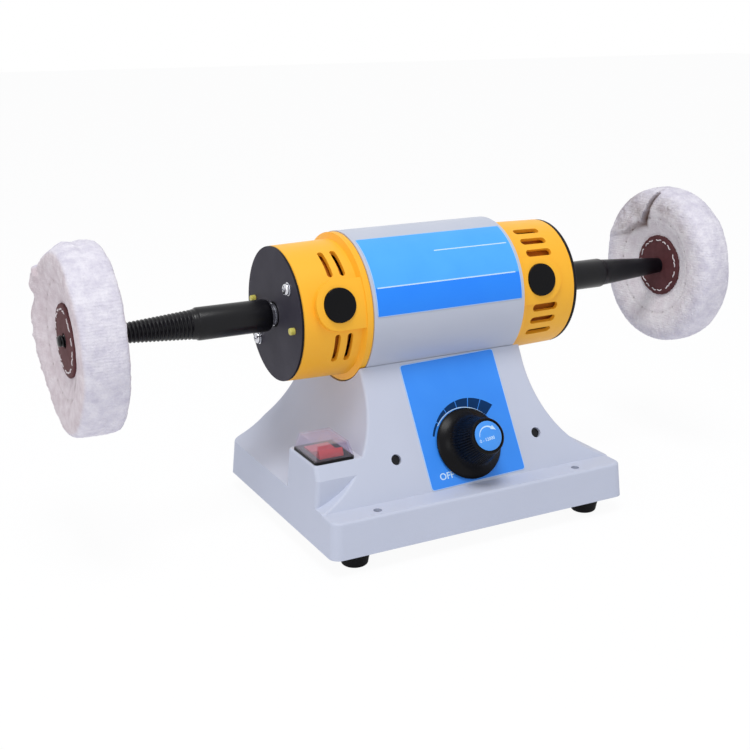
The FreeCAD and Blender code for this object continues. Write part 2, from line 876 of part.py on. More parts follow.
def heat_sink():
    base = heatsink_depth / 4
    sink = block_centred(heatsink_width, heatsink_height, board_back - heatsink_depth, board_back)
    fin_count = 4
    pitch = heatsink_width / (2 * fin_count + 1)
    cuts = []
    for number in range(fin_count):
        gap = Part.makeBox(pitch, 2 * heatsink_height, heatsink_depth)
        place = -heatsink_width / 2 + (2 * number + 1) * pitch
        gap.translate(FreeCAD.Vector(place, -heatsink_height, board_back - heatsink_depth - base))
        cuts.append(gap)
    sink = sink.cut(Part.makeCompound(cuts))
    sink.translate(FreeCAD.Vector(part_spacing, 0, 0))
    return sink


def triac():
    body = block_centred(triac_depth, triac_width, board_back - triac_height, board_back)
    body.translate(FreeCAD.Vector(part_spacing - heatsink_width / 2 - triac_depth / 2, 0, 0))
    return body


def choke_coil():
    ring = disc(choke_radius, board_back - choke_length, board_back, -part_spacing / 2)
    return ring.cut(disc(choke_bore, board_back - 2 * choke_length, board_back + choke_length, -part_spacing / 2))


def panel_group(shapes):
    return on_panel(Part.makeCompound(shapes), panel_shift, knob_rise)


export("panel_label", panel_label())
export("control_knob", on_panel(control_knob(), panel_shift, knob_rise))
export("knob_cap", panel_group([disc(cap_radius, knob_height - cap_sink, knob_height - cap_sink + cap_thickness)]))
export("potentiometer", on_panel(potentiometer(), panel_shift, knob_rise))
export("potentiometer_shaft", on_panel(potentiometer_shaft(), panel_shift, knob_rise))
export("potentiometer_nut", on_panel(potentiometer_nut(), panel_shift, knob_rise))
export("front_screws", Part.makeCompound([on_panel(front_screw(), x, front_screw_rise) for x in front_screw_places]))
export("board_nuts", Part.makeCompound([on_panel(board_nut(), x, front_screw_rise) for x in front_screw_places]))
export("speed_board", on_panel(speed_board(), panel_shift, knob_rise))
export("heat_sink", on_panel(heat_sink(), panel_shift, knob_rise))
export("triac", on_panel(triac(), panel_shift, knob_rise))
export("choke_coil", on_panel(choke_coil(), panel_shift, knob_rise))
export("filter_capacitor", panel_group([disc(capacitor_radius, board_back - capacitor_length, board_back,
                                             -part_spacing - capacitor_radius)]))


# Rocker switch with its clear cover

def at_switch(shape):
    placed = shape.copy()
    placed.translate(FreeCAD.Vector(switch_x, switch_y, 0))
    return placed


pivot_z = box_top - pivot_drop
switch_bottom = box_top - switch_body_depth
pocket_width = switch_body_width - 2 * switch_wall
pocket_length = switch_body_length - 2 * switch_wall
switch_floor = switch_bottom + switch_wall


def blade(x, y, gap):
    width = blade_width + 2 * gap
    plate = blade_plate + 2 * gap
    box = Part.makeBox(plate, width, blade_drop + 2 * switch_wall)
    box.translate(FreeCAD.Vector(x - plate / 2, y - width / 2, switch_bottom - blade_drop))
    return box


blade_places = [(i * pocket_width / 4, j * blade_pitch / 2) for i in (-1, 1) for j in (-1, 1)]


def switch_housing():
    body = block_centred(switch_body_width, switch_body_length, switch_bottom, box_top)
    bezel = rounded_plate(bezel_width, bezel_length, edge_round, box_top, bezel_thickness)
    pocket = block_centred(pocket_width, pocket_length, switch_floor, box_top + cut_over)
    pin = Part.makeCylinder(pivot_radius, switch_body_width, FreeCAD.Vector(-switch_body_width / 2, 0, pivot_z), X_AXIS)
    slots = [blade(x, y, 0) for x, y in blade_places]
    return at_switch(fuse([body, bezel]).cut(Part.makeCompound([pocket, pin] + slots)))


def switch_rocker():
    half_width = pocket_width / 2 - rocker_gap
    reach = pocket_length / 2 - rocker_gap
    low = pivot_z - rocker_underside
    points = [(-reach, pivot_z), (-reach, pivot_z + rocker_end_height), (0, pivot_z + rocker_middle_height),
              (reach, pivot_z + rocker_end_height), (reach, pivot_z), (reach / 3, low), (-reach / 3, low)]
    face = polygon([(-half_width, y, z) for y, z in points])
    rocker = face.extrude(FreeCAD.Vector(2 * half_width, 0, 0))
    rocker = rocker.common(Part.makeCylinder(reach, 2 * half_width, FreeCAD.Vector(-half_width, 0, pivot_z), X_AXIS))
    bore = Part.makeCylinder(pivot_radius + pivot_fit, 2 * half_width, FreeCAD.Vector(-half_width, 0, pivot_z), X_AXIS)
    rocker = rocker.cut(bore)
    rocker.rotate(FreeCAD.Vector(0, 0, pivot_z), X_AXIS, -rocker_swing / 2)
    return at_switch(rocker)


def rocker_pin():
    length = switch_body_width
    pin = Part.makeCylinder(pivot_radius, length, FreeCAD.Vector(-length / 2, 0, pivot_z), X_AXIS)
    return at_switch(pin)


def rectangle(length, depth, z):
    x, y = length / 2, depth / 2
    points = [FreeCAD.Vector(*p) for p in ((x, y, z), (-x, y, z), (-x, -y, z), (x, -y, z), (x, y, z))]
    return Part.makePolygon(points)


def switch_cover():
    low = box_top + bezel_thickness
    def frustum(inset, bottom, top):
        return Part.makeLoft([rectangle(bezel_width - 2 * inset, bezel_length - 2 * inset, bottom),
                              rectangle(bezel_width - 2 * (inset + cover_taper),
                                        bezel_length - 2 * (inset + cover_taper), top)], True, True)
    outer = frustum(cover_inset, low, low + cover_height)
    inner = frustum(cover_inset + cover_wall, low, low + cover_height - cover_wall)
    return at_switch(outer.cut(inner))


export("switch_housing", switch_housing())
export("switch_rocker", switch_rocker())
export("rocker_pin", rocker_pin())
export("switch_cover", switch_cover())
export("switch_terminals", Part.makeCompound([at_switch(blade(x, y, 0)) for x, y in blade_places]))


# Cord gland in the slanted back

def gland_body():
    flange = hexagon(gland_nut_radius, 0, gland_nut_thickness)
    dome = disc(gland_dome_radius, gland_nut_thickness, gland_nut_thickness + gland_dome_length)
    barrel = disc(gland_thread_radius, -2 * gland_nut_thickness - fit_gap, 0)
    bore = disc(gland_bore_radius, -board_setback, board_setback)
    return on_back(fuse([flange, dome, barrel]).cut(bore), gland_place, gland_rise)


def gland_nut():
    nut = hexagon(gland_nut_radius, -wall - gland_nut_thickness, -wall)
    return on_back(nut.cut(disc(gland_thread_radius, -board_setback, board_setback)), gland_place, gland_rise)


export("cable_gland", gland_body())
export("gland_nut", gland_nut())


# Motor casing: a steel tube between two cast bells

spigot_radius = tube_inner - fit_gap
bearing_outer_end = bell_end - bell_wall - bearing_end_gap
bearing_inner_end = bearing_outer_end - bearing_width


def motor_tube():
    tube = cylinder_x(tube_radius, -half_tube, half_tube)
    tube = tube.cut(cylinder_x(tube_inner, -tube_length, tube_length))
    holes = [cylinder_z(motor_screw_radius, i * motor_screw_spacing / 2, axis_y, axis_z - 2 * tube_radius, axis_z)
             for i in (-1, 1)]
    return tube.cut(Part.makeCompound(holes))


def bell_shell(neck):
    """Cast cup from the tube's edge outward, for the right side. The neck is the outline next to the tube."""
    slope = (bell_radius - bell_end_radius) / (bell_end - half_tube)
    inside_end = bell_end - bell_wall
    inner = bell_radius - bell_wall
    inner_end = inner - slope * (inside_end - half_tube)
    hub = bearing_radius + bearing_hub_wall
    start = half_tube - spigot_length
    points = [(start, inner), (start, spigot_radius), (half_tube, spigot_radius)]
    points += neck
    points += [
        (bell_end - edge_round / 2, bell_end_radius),
        (bell_end, bell_end_radius - edge_round / 2),
        (bell_end, shaft_window_radius),
        (inside_end, shaft_window_radius),
        (inside_end, bearing_radius),
        (bearing_inner_end, bearing_radius),
        (bearing_inner_end, hub),
        (inside_end, hub),
        (inside_end, inner_end),
    ]
    return turned(points)


def boss(place, radius):
    """U-shaped pad that carries a port, drawn about +Z and trimmed to a cylinder of the given radius."""
    reach = place - half_tube
    low = bell_radius - boss_depth
    pad = disc(boss_half_width, low, 2 * radius)
    strip = Part.makeBox(reach, 2 * boss_half_width, 2 * radius - low)
    strip.translate(FreeCAD.Vector(-reach, -boss_half_width, low))
    return fuse([pad, strip])


def tie_holes(radius):
    start = half_tube
    holes = []
    for turn in (0, 180):
        a = radians(tie_angle + turn)
        y = axis_y - tie_circle * cos(a)
        z = axis_z + tie_circle * sin(a)
        holes.append(cylinder_x(radius, start, 2 * half_casing, y, z))
    return holes


def right_bell_like(neck, place, radius, vents, port_bore):
    shell = bell_shell(neck)
    limit = cylinder_x(radius, half_tube, bell_end).cut(cylinder_x(bell_radius - bell_wall, 0, bell_end))
    pads = []
    cuts = []
    for turn in (0, 180):
        angle = yoke_tilt + turn
        pads.append(radial(boss(place, radius), place, angle).common(limit))
        seat = radius - port_recess
        cuts.append(radial(disc(port_radius + port_gap, seat, 2 * radius), place, angle))
        cuts.append(radial(disc(port_bore, bearing_radius + bearing_hub_wall, 2 * radius), place, angle))
    body = fuse([shell] + pads)
    return body.cut(Part.makeCompound(cuts + vents + tie_holes(tie_radius + fit_gap)))


def ring_vents():
    """Slots along the bell's round, with rounded ends."""
    shapes = []
    half = ring_vent_width / 2
    low = bell_end_radius - boss_depth
    high = bell_radius + boss_depth
    end_turn = degrees(asin(half / bell_radius))
    end = disc(half, low, high)
    for turn in (0, 180):
        for side in (-1, 1):
            for place in ring_vent_places:
                a = yoke_tilt + turn + side * (ring_vent_low_angle + end_turn)
                b = yoke_tilt + turn + side * (ring_vent_high_angle - end_turn)
                middle = sector(low, high, min(a, b), max(a, b), place - half, place + half)
                shapes.append(fuse([middle, radial(end, place, a), radial(end, place, b)]))
    return shapes


def bar_vents():
    shapes = []
    half = bar_vent_width / 2
    low = bell_end_radius - boss_depth
    high = bell_radius + boss_depth
    slot = rounded_plate(bar_vent_length, bar_vent_width, half - fit_gap, low, high - low)
    for turn in (0, 180):
        for side in (-1, 1):
            for angle in bar_vent_angles:
                shapes.append(radial(slot, bar_vent_place, yoke_tilt + turn + side * angle))
    return shapes


def end_disc(holes):
    plate = cylinder_x(disc_radius, bell_end, half_casing)
    cuts = tie_holes(tie_radius + fit_gap) + [cylinder_x(shaft_window_radius, 0, 2 * half_casing)] + holes
    return plate.cut(Part.makeCompound(cuts))


def pegs(radius, start, end):
    shapes = []
    for turn in (0, 180):
        a = radians(peg_angle + turn)
        y = axis_y - peg_circle * cos(a)
        z = axis_z + peg_circle * sin(a)
        shapes.append(cylinder_x(radius, start, end, y, z))
    return shapes


def port_cap(radius, place):
    """Two plain round caps, one at the front and one at the back."""
    cap = disc(port_radius, radius - port_recess, radius + port_lip)
    cap = cap.makeFillet(port_lip / 2, edges_where(cap, lambda p: same(p.z, radius + port_lip)))
    return [radial(cap, place, yoke_tilt + turn) for turn in (0, 180)]


left_neck = [
    (half_tube, collar_radius - port_lip),
    (half_tube + port_lip, collar_radius),
    (half_tube + collar_width - 2 * port_lip, collar_radius),
    (half_tube + collar_width, bell_radius),
]
right_neck = [
    (half_tube, collar_radius),
    (half_tube + collar_width / 2, bell_radius + port_lip),
    (half_tube + collar_width, bell_radius),
]
left_bell = right_bell_like(left_neck, left_port_place, left_boss_radius, ring_vents(), holder_radius + holder_gap)
left_bell = fuse([left_bell] + pegs(peg_radius, bell_end - bell_wall, bell_end + peg_length))
right_bell = right_bell_like(right_neck, right_port_place, right_boss_radius, bar_vents(), holder_radius + holder_gap)
export("motor_tube", motor_tube())
label_inner = tube_radius + motor_label_lift


def motor_label():
    """Film wrapped on the tube, in narrow flats that follow its curve."""
    def along(radius):
        angles = [motor_label_low_angle + (motor_label_high_angle - motor_label_low_angle) * n / motor_label_steps
                  for n in range(motor_label_steps + 1)]
        return [(-motor_label_length / 2, axis_y - radius * cos(radians(a)), axis_z + radius * sin(radians(a)))
                for a in angles]
    outline = along(label_inner + motor_label_thickness) + along(label_inner)[::-1]
    return polygon(outline).extrude(FreeCAD.Vector(motor_label_length, 0, 0))


export("motor_label", motor_label())
export("left_bell", mirrored_x(left_bell))
export("right_bell", right_bell)
export("left_end_disc", mirrored_x(end_disc(pegs(peg_radius + fit_gap, bell_end - bell_wall, 2 * half_casing))))
export("right_end_disc", end_disc([]))
export("brush_caps", mirrored_x(Part.makeCompound(port_cap(left_boss_radius, left_port_place))))
export("port_caps", Part.makeCompound(port_cap(right_boss_radius, right_port_place)))


# Tie bolts that clamp the bells on the tube

def tie_bolts():
    parts = []
    for turn in (0, 180):
        a = radians(tie_angle + turn)
        y = axis_y - tie_circle * cos(a)
        z = axis_z + tie_circle * sin(a)
        seat = half_casing + tie_washer_thickness
        shank = cylinder_x(tie_radius, -seat, seat + tie_head_height, y, z)
        head = cylinder_x(tie_head_radius, -seat - tie_head_height, -seat, y, z)
        parts.append(fuse([shank, head]))
    return Part.makeCompound(parts)


def tie_nuts():
    parts = []
    for turn in (0, 180):
        seat = half_casing + tie_washer_thickness
        nut = hexagon(tie_head_radius, 0, tie_head_height).cut(disc(tie_radius, -cut_over, cut_over))
        nut.rotate(ORIGIN, Y_AXIS, 90)
        a = radians(tie_angle + turn)
        nut.translate(FreeCAD.Vector(seat, axis_y - tie_circle * cos(a), axis_z + tie_circle * sin(a)))
        parts.append(nut)
    return Part.makeCompound(parts)


def tie_washers():
    parts = []
    for turn in (0, 180):
        a = radians(tie_angle + turn)
        y = axis_y - tie_circle * cos(a)
        z = axis_z + tie_circle * sin(a)
        for start in (half_casing, -half_casing - tie_washer_thickness):
            ring = cylinder_x(tie_washer_radius, start, start + tie_washer_thickness, y, z)
            parts.append(ring.cut(cylinder_x(tie_radius, -2 * half_casing, 2 * half_casing, y, z)))
    return Part.makeCompound(parts)


export("tie_bolts", tie_bolts())
export("tie_nuts", tie_nuts())
export("tie_washers", tie_washers())


# Screws that hold the motor in the saddle

def motor_screw(x):
    seat = axis_z - saddle_radius - wall
    head = cylinder_z(motor_head_radius, x, axis_y, seat - motor_head_height, seat)
    tip = axis_z - tube_inner + motor_nut_thickness + fit_gap
    return fuse([head, cylinder_z(motor_screw_radius - screw_fit, x, axis_y, seat, tip)])


def motor_nut(x):
    low = axis_z - sqrt(tube_inner ** 2 - motor_nut_radius ** 2) + fit_gap
    nut = hexagon(motor_nut_radius, low, low + motor_nut_thickness)
    nut.translate(FreeCAD.Vector(x, axis_y, 0))
    return nut.cut(cylinder_z(motor_screw_radius, x, axis_y, axis_z - 2 * tube_radius, axis_z))


export("motor_screws", Part.makeCompound([motor_screw(i * motor_screw_spacing / 2) for i in (-1, 1)]))
export("motor_nuts", Part.makeCompound([motor_nut(i * motor_screw_spacing / 2) for i in (-1, 1)]))


# Brush gear

def brush_holder(place):
    top = left_boss_radius - port_recess
    body = disc(holder_radius, holder_start, top)
    bore = Part.makeBox(brush_length + 2 * fit_gap, brush_width + 2 * fit_gap, 2 * top)
    bore.translate(FreeCAD.Vector(-brush_length / 2 - fit_gap, -brush_width / 2 - fit_gap, 0))
    return body.cut(bore)


def carbon_brush():
    low = commutator_radius + brush_gap
    brush = Part.makeBox(brush_length, brush_width, brush_height)
    brush.translate(FreeCAD.Vector(-brush_length / 2, -brush_width / 2, low))
    return brush


def brush_spring():
    low = commutator_radius + brush_gap + brush_height
    top = left_boss_radius - port_recess
    return disc(spring_radius, low, top).cut(disc(spring_radius - spring_wall, low - cut_over, top + cut_over))


def brush_pair(shape):
    return mirrored_x(Part.makeCompound([radial(shape, left_port_place, yoke_tilt + turn) for turn in (0, 180)]))


export("brush_holders", brush_pair(brush_holder(left_port_place)))
export("carbon_brushes", brush_pair(carbon_brush()))
export("brush_springs", brush_pair(brush_spring()))


# Stator, armature and bearings

half_core = core_length / 2
shoe_inner = armature_radius + air_gap
shoe_outer = shoe_inner + slot_depth
yoke_inner = core_radius - yoke_thickness


def stator_core():
    ring = cylinder_x(core_radius, -half_core, half_core).cut(cylinder_x(yoke_inner, -core_length, core_length))
    parts = [ring]
    for turn in (0, 180):
        centre = pole_angle + turn
        parts.append(sector(shoe_inner, shoe_outer, centre - pole_half_angle, centre + pole_half_angle,
                            -half_core, half_core))
        parts.append(sector(shoe_outer - coil_gap, yoke_inner + coil_gap, centre - pole_neck_half_angle,
                            centre + pole_neck_half_angle, -half_core, half_core))
    return fuse(parts)


def field_coils():
    parts = []
    low = shoe_outer + coil_gap
    high = yoke_inner - coil_gap
    neck = pole_neck_half_angle + coil_gap
    for turn in (0, 180):
        centre = pole_angle + turn
        coil = sector(low, high, centre - coil_half_angle, centre + coil_half_angle,
                      -half_core - coil_overhang, half_core + coil_overhang)
        window = sector(low - cut_over, high + cut_over, centre - neck, centre + neck,
                        -half_core - coil_gap, half_core + coil_gap)
        parts.append(coil.cut(window))
    return Part.makeCompound(parts)


def around_axis(shape, count):
    shapes = []
    for number in range(count):
        other = shape.copy()
        other.rotate(FreeCAD.Vector(0, axis_y, axis_z), X_AXIS, 360 * number / count)
        shapes.append(other)
    return shapes


def slot_bar(width, low, high, start, end):
    bar = Part.makeBox(end - start, width, high - low)
    bar.translate(FreeCAD.Vector(start, axis_y - width / 2, axis_z + low))
    return bar


def armature_core():
    core = cylinder_x(armature_radius, -half_core, half_core).cut(cylinder_x(shaft_radius, -core_length, core_length))
    slot = slot_bar(slot_width, armature_radius - slot_depth, 2 * armature_radius, -core_length, core_length)
    return core.cut(Part.makeCompound(around_axis(slot, slot_count)))


def armature_windings():
    bar = slot_bar(slot_width - fit_gap, armature_radius - slot_depth + fit_gap, armature_radius - air_gap,
                   -half_core - fit_gap, half_core + fit_gap)
    right = [(half_core, shaft_radius + air_gap), (half_core, winding_radius),
             (half_core + winding_overhang / 2, winding_radius), (half_core + winding_overhang, winding_end_radius),
             (half_core + winding_overhang, shaft_radius + air_gap)]
    end = turned(right)
    return fuse([end, mirrored_x(end)] + around_axis(bar, slot_count))


def commutator():
    start = left_port_place - commutator_length / 2
    end = left_port_place + commutator_length / 2
    drum = cylinder_x(commutator_radius, start, end).cut(cylinder_x(shaft_radius, 0, 2 * end))
    gap = slot_bar(segment_gap, commutator_radius - segment_depth, 2 * commutator_radius, 0, 2 * end)
    return mirrored_x(drum.cut(Part.makeCompound(around_axis(gap, segment_count))))


def cooling_fan():
    hub = cylinder_x(fan_hub_radius, fan_place, fan_place + fan_width)
    plate = cylinder_x(fan_radius, fan_place, fan_place + fan_plate)
    vane = slot_bar(blade_thickness, fan_hub_radius - blade_thickness, fan_radius - blade_thickness,
                    fan_place, fan_place + fan_width)
    fan = fuse([hub, plate] + around_axis(vane, blade_count))
    return fan.cut(cylinder_x(shaft_radius, 0, 2 * bell_end))


def bearing_outer():
    ring = cylinder_x(bearing_radius, bearing_inner_end, bearing_outer_end)
    bore = shaft_radius + bearing_race + bearing_seal_gap
    return ring.cut(cylinder_x(bore, 0, 2 * bell_end))


def bearing_inner():
    ring = cylinder_x(shaft_radius + bearing_race, bearing_inner_end, bearing_outer_end)
    return ring.cut(cylinder_x(shaft_radius, 0, 2 * bell_end))


export("stator_core", stator_core())
export("field_coils", field_coils())
export("armature_core", armature_core())
export("armature_windings", armature_windings())
export("commutator", commutator())
export("cooling_fan", cooling_fan())
export("motor_shaft", cylinder_x(shaft_radius, -shaft_length / 2, shaft_length / 2))
export("bearing_outer_rings", Part.makeCompound([bearing_outer(), mirrored_x(bearing_outer())]))
export("bearing_inner_rings", Part.makeCompound([bearing_inner(), mirrored_x(bearing_inner())]))


# Tapered spindles and their grub screws

taper_slope = (taper_start_radius - taper_tip_radius) / (spindle_end - sleeve_end)


def taper_radius(x):
    return taper_start_radius - (x - sleeve_end) * taper_slope


def spindle():
    c = sleeve_chamfer
    tip = spindle_end - c / 2
    body = turned([
        (spindle_start, 0), (spindle_start, sleeve_radius - c), (spindle_start + c, sleeve_radius),
        (sleeve_end - c / 4, sleeve_radius), (sleeve_end, taper_start_radius), (tip, taper_radius(tip)),
        (spindle_end, taper_tip_radius - c / 2), (spindle_end, 0),
    ])
    bore = cylinder_x(shaft_radius, 0, shaft_length / 2 + fit_gap)
    grub = cylinder_z(grub_radius, grub_place, axis_y, axis_z, axis_z + 2 * sleeve_radius)
    slot = Part.makeBox(tip_slot_depth, 2 * sleeve_radius, tip_slot_width)
    slot.translate(FreeCAD.Vector(spindle_end - tip_slot_depth, axis_y - sleeve_radius, axis_z - tip_slot_width / 2))
    return body.cut(Part.makeCompound([bore, grub, slot]))


def grub_screw():
    low = axis_z + shaft_radius
    return cylinder_z(grub_radius - screw_fit, grub_place, axis_y, low, axis_z + sleeve_radius - grub_sink)


export("right_spindle", spindle())
export("left_spindle", mirrored_x(spindle()))
export("grub_screws", Part.makeCompound([grub_screw(), mirrored_x(grub_screw())]))


# Stitched cloth wheels with a leather washer on each face

def half_turned(points, place):
    """Revolves an outline in which each item is a point, or a pair of points that ends an arc."""
    edges = []
    def at(p):
        return FreeCAD.Vector(place + p[0], axis_y, axis_z + p[1])
    here = points[0]
    for item in points[1:] + [points[0]]:
        if isinstance(item[0], tuple):
            edges.append(Part.Arc(at(here), at(item[0]), at(item[1])).toShape())
            here = item[1]
        else:
            edges.append(Part.LineSegment(at(here), at(item)).toShape())
            here = item
    face = Part.Face(Part.Wire(edges))
    return face.revolve(FreeCAD.Vector(0, axis_y, axis_z), X_AXIS, 360)


def polishing_wheel(place):
    mid = wheel_centre_half_thickness
    full = wheel_half_thickness
    low_edge = full * ease_share
    bulge = (stitch_radius + crown_radius) / 2
    rim = wheel_radius * rim_share
    turn = full * rim_width_share
    corner = (full + turn) / 2 + (full - turn) * corner_share
    corner_radius_at = crown_radius + (rim - crown_radius) * corner_height_share
    return half_turned([
        (-mid, taper_radius(place - mid)),
        (-mid, leather_radius),
        (-low_edge, stitch_radius),
        ((-full * bulge_share, bulge), (-full, crown_radius)),
        ((-corner, corner_radius_at), (-turn, rim)),
        ((0, wheel_radius), (turn, rim)),
        ((corner, corner_radius_at), (full, crown_radius)),
        ((full * bulge_share, bulge), (low_edge, stitch_radius)),
        (mid, leather_radius),
        (mid, taper_radius(place + mid)),
    ], place)


def leather(place, side):
    mid = wheel_centre_half_thickness
    edge = leather_thickness / 4
    points = [
        (mid, leather_radius), (mid + leather_thickness - edge, leather_radius),
        (mid + leather_thickness, leather_radius - edge),
    ]
    points = [(side * x, r) for x, r in points]
    outer = side * (mid + leather_thickness)
    inner = side * mid
    start = (inner, taper_radius(place + inner))
    return half_turned([start] + points + [(outer, taper_radius(place + outer))], place)


def washers(place):
    return Part.makeCompound([leather(place, -1), leather(place, 1)])


export("right_wheel", polishing_wheel(right_wheel_place))
export("left_wheel", mirrored_x(polishing_wheel(left_wheel_place)))
export("right_wheel_leathers", washers(right_wheel_place))
export("left_wheel_leathers", mirrored_x(washers(left_wheel_place)))
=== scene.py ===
from collections import namedtuple
from math import atan2, cos, degrees, exp, hypot, pi, radians, sin

import bpy
from mathutils import Matrix, Vector, noise


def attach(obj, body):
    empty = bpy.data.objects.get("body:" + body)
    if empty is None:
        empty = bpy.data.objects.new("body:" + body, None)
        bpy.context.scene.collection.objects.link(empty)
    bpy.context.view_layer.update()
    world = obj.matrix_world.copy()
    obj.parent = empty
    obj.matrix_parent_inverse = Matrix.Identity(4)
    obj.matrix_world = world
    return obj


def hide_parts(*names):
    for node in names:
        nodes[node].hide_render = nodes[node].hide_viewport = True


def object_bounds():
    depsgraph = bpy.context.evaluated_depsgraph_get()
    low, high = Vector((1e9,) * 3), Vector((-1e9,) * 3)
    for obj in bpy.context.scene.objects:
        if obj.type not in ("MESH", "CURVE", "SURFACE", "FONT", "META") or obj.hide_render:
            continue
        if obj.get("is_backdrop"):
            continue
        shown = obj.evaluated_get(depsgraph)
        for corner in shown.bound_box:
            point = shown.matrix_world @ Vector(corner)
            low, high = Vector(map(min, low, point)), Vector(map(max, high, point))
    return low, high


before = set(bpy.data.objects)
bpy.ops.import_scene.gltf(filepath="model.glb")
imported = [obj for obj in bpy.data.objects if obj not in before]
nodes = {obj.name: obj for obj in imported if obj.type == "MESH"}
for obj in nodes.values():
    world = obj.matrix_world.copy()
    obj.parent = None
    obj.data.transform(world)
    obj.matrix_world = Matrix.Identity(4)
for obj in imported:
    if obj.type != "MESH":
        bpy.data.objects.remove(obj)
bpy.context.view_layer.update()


# Base housing
# The stand is one moulding of light grey ABS: a drafted block, a tower that cradles the motor and a
# raised box for the switch. It is injection moulded, with a fine spark-eroded grain and soft edges.

MM = 0.001
AXIS_Y = 10 * MM
AXIS_Z = 130.3 * MM


def colour(code):
    """Linear colour of an sRGB hex code."""
    parts = [int(code[n:n + 2], 16) / 255 for n in (0, 2, 4)]
    return [p / 12.92 if p <= 0.04045 else ((p + 0.055) / 1.055) ** 2.4 for p in parts] + [1.0]


def add_node(material, kind, settings=None, links=None):
    """Adds a shader node. A key that isn't an attribute of the node names an input socket."""
    node = material.node_tree.nodes.new("ShaderNode" + kind)
    for key, value in (settings or {}).items():
        if isinstance(key, str) and hasattr(node, key):
            setattr(node, key, value)
        else:
            node.inputs[key].default_value = value
    for key, source in (links or {}).items():
        material.node_tree.links.new(source, node.inputs[key])
    return node


def finish(name, light, dark, rough=(0.45, 0.6), grain=0.6, depth=0.02, drift=40, **shader_values):
    """A material with slow drifts of colour, uneven gloss and a surface grain of the given size in mm."""
    material = bpy.data.materials.new(name)
    material.use_nodes = True
    shader = material.node_tree.nodes["Principled BSDF"]
    for key, value in shader_values.items():
        shader.inputs[key.replace("_", " ")].default_value = value
    place = add_node(material, "TexCoord").outputs["Object"]
    slow = add_node(material, "TexNoise", {"Scale": 1 / (drift * MM), "Detail": 3.0}, {"Vector": place})
    fine = add_node(material, "TexNoise", {"Scale": 1 / (grain * MM), "Detail": 2.0}, {"Vector": place})
    mix = add_node(material, "MixRGB", {1: colour(light), 2: colour(dark)}, {0: slow.outputs["Fac"]})
    gloss = add_node(material, "MapRange", {"To Min": rough[0], "To Max": rough[1]}, {0: slow.outputs["Fac"]})
    bump = add_node(material, "Bump", {"Distance": depth * MM}, {"Height": fine.outputs["Fac"]})
    links = material.node_tree.links
    links.new(mix.outputs[0], shader.inputs["Base Color"])
    links.new(gloss.outputs[0], shader.inputs["Roughness"])
    links.new(bump.outputs[0], shader.inputs["Normal"])
    return material


def dress(material, *names):
    """Gives CAD nodes a material and their own slot."""
    for name in names:
        nodes[name].data.materials.clear()
        nodes[name].data.materials.append(material)


grey_abs = finish("Moulded light grey ABS", "c9cfe0", "c3c9da", rough=(0.5, 0.62), grain=0.7, depth=0.012,
                  Specular_IOR_Level=0.3)
dress(grey_abs, "base_housing")


# Bottom plate, feet and the screws through them
# The plate is zinc-plated sheet steel with punched vents. The four feet are turned natural rubber
# pads, each held by one plated steel screw that is sunk in its middle.

zinc = finish("Zinc-plated steel", "c3c6c9", "a9adb2", rough=(0.28, 0.42), grain=0.4, depth=0.006, drift=12,
              Metallic=1.0)
rubber = finish("Moulded black rubber", "161618", "101012", rough=(0.6, 0.8), grain=0.5, depth=0.02, drift=15,
                Specular_IOR_Level=0.12)
dress(zinc, "bottom_plate", "foot_screws")
dress(rubber, "rubber_feet")


# Panel label
# The slanted front carries a printed polyester film with a satin face. Its print is a wedge-shaped
# speed scale round the knob with thin pale gaps, a pale line inside the scale and the word OFF.

PANEL_LEAN = radians(28.8)
PANEL_CENTRE = Vector((2.8, -50.1306, 52.6808)) * MM
LABEL_WIDTH = 65.4
LABEL_SHIFT = 1.3
LABEL_LOW = -22.6
LABEL_HIGH = 53.6
LABEL_TURN = radians(1.5)
FILM_TOP = 0.4
INK = 0.05
PALE_EDGE = 0.4
WELD = 1e-6


def activate(piece):
    bpy.ops.object.select_all(action="DESELECT")
    piece.select_set(True)
    bpy.context.view_layer.objects.active = piece


def apply_place(piece):
    activate(piece)
    bpy.ops.object.transform_apply(location=True, rotation=True, scale=True)


def modify(piece, kind, **settings):
    """Adds a modifier with its settings and applies it."""
    modifier = piece.modifiers.new(kind.title(), kind)
    for key, value in settings.items():
        setattr(modifier, key, value)
    activate(piece)
    bpy.ops.object.modifier_apply(modifier=modifier.name)


def mend_normals(piece):
    """Joins doubled points and turns every face outward."""
    activate(piece)
    bpy.ops.object.mode_set(mode="EDIT")
    bpy.ops.mesh.select_all(action="SELECT")
    bpy.ops.mesh.remove_doubles(threshold=WELD)
    bpy.ops.mesh.normals_make_consistent(inside=False)
    bpy.ops.object.mode_set(mode="OBJECT")


def settle(piece, name, body, material, replaced=(), angle=35):
    """Names a piece and gives it its material, smooth faces, body, slot and the nodes it stands for."""
    piece.name = name
    piece.data.name = name
    if material:
        piece.data.materials.clear()
        piece.data.materials.append(material)
    activate(piece)
    bpy.ops.object.shade_smooth_by_angle(angle=radians(angle))
    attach(piece, body)
    if replaced:
        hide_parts(*replaced)


def on_panel(piece):
    """Puts a piece drawn flat about the knob's axis, in metres, on the slanted panel."""
    piece.rotation_euler = (pi / 2 - PANEL_LEAN, 0, 0)
    piece.location = PANEL_CENTRE
    apply_place(piece)


def start_face(name, points, height=0.0):
    """A new piece in edit mode with one flat face, whose outline in mm is given."""
    mesh = bpy.data.meshes.new(name)
    mesh.from_pydata([(x * MM, y * MM, height * MM) for x, y in points], [], [range(len(points))])
    piece = bpy.data.objects.new(name, mesh)
    bpy.context.collection.objects.link(piece)
    activate(piece)
    bpy.ops.object.mode_set(mode="EDIT")
    bpy.ops.mesh.select_all(action="SELECT")
    return piece


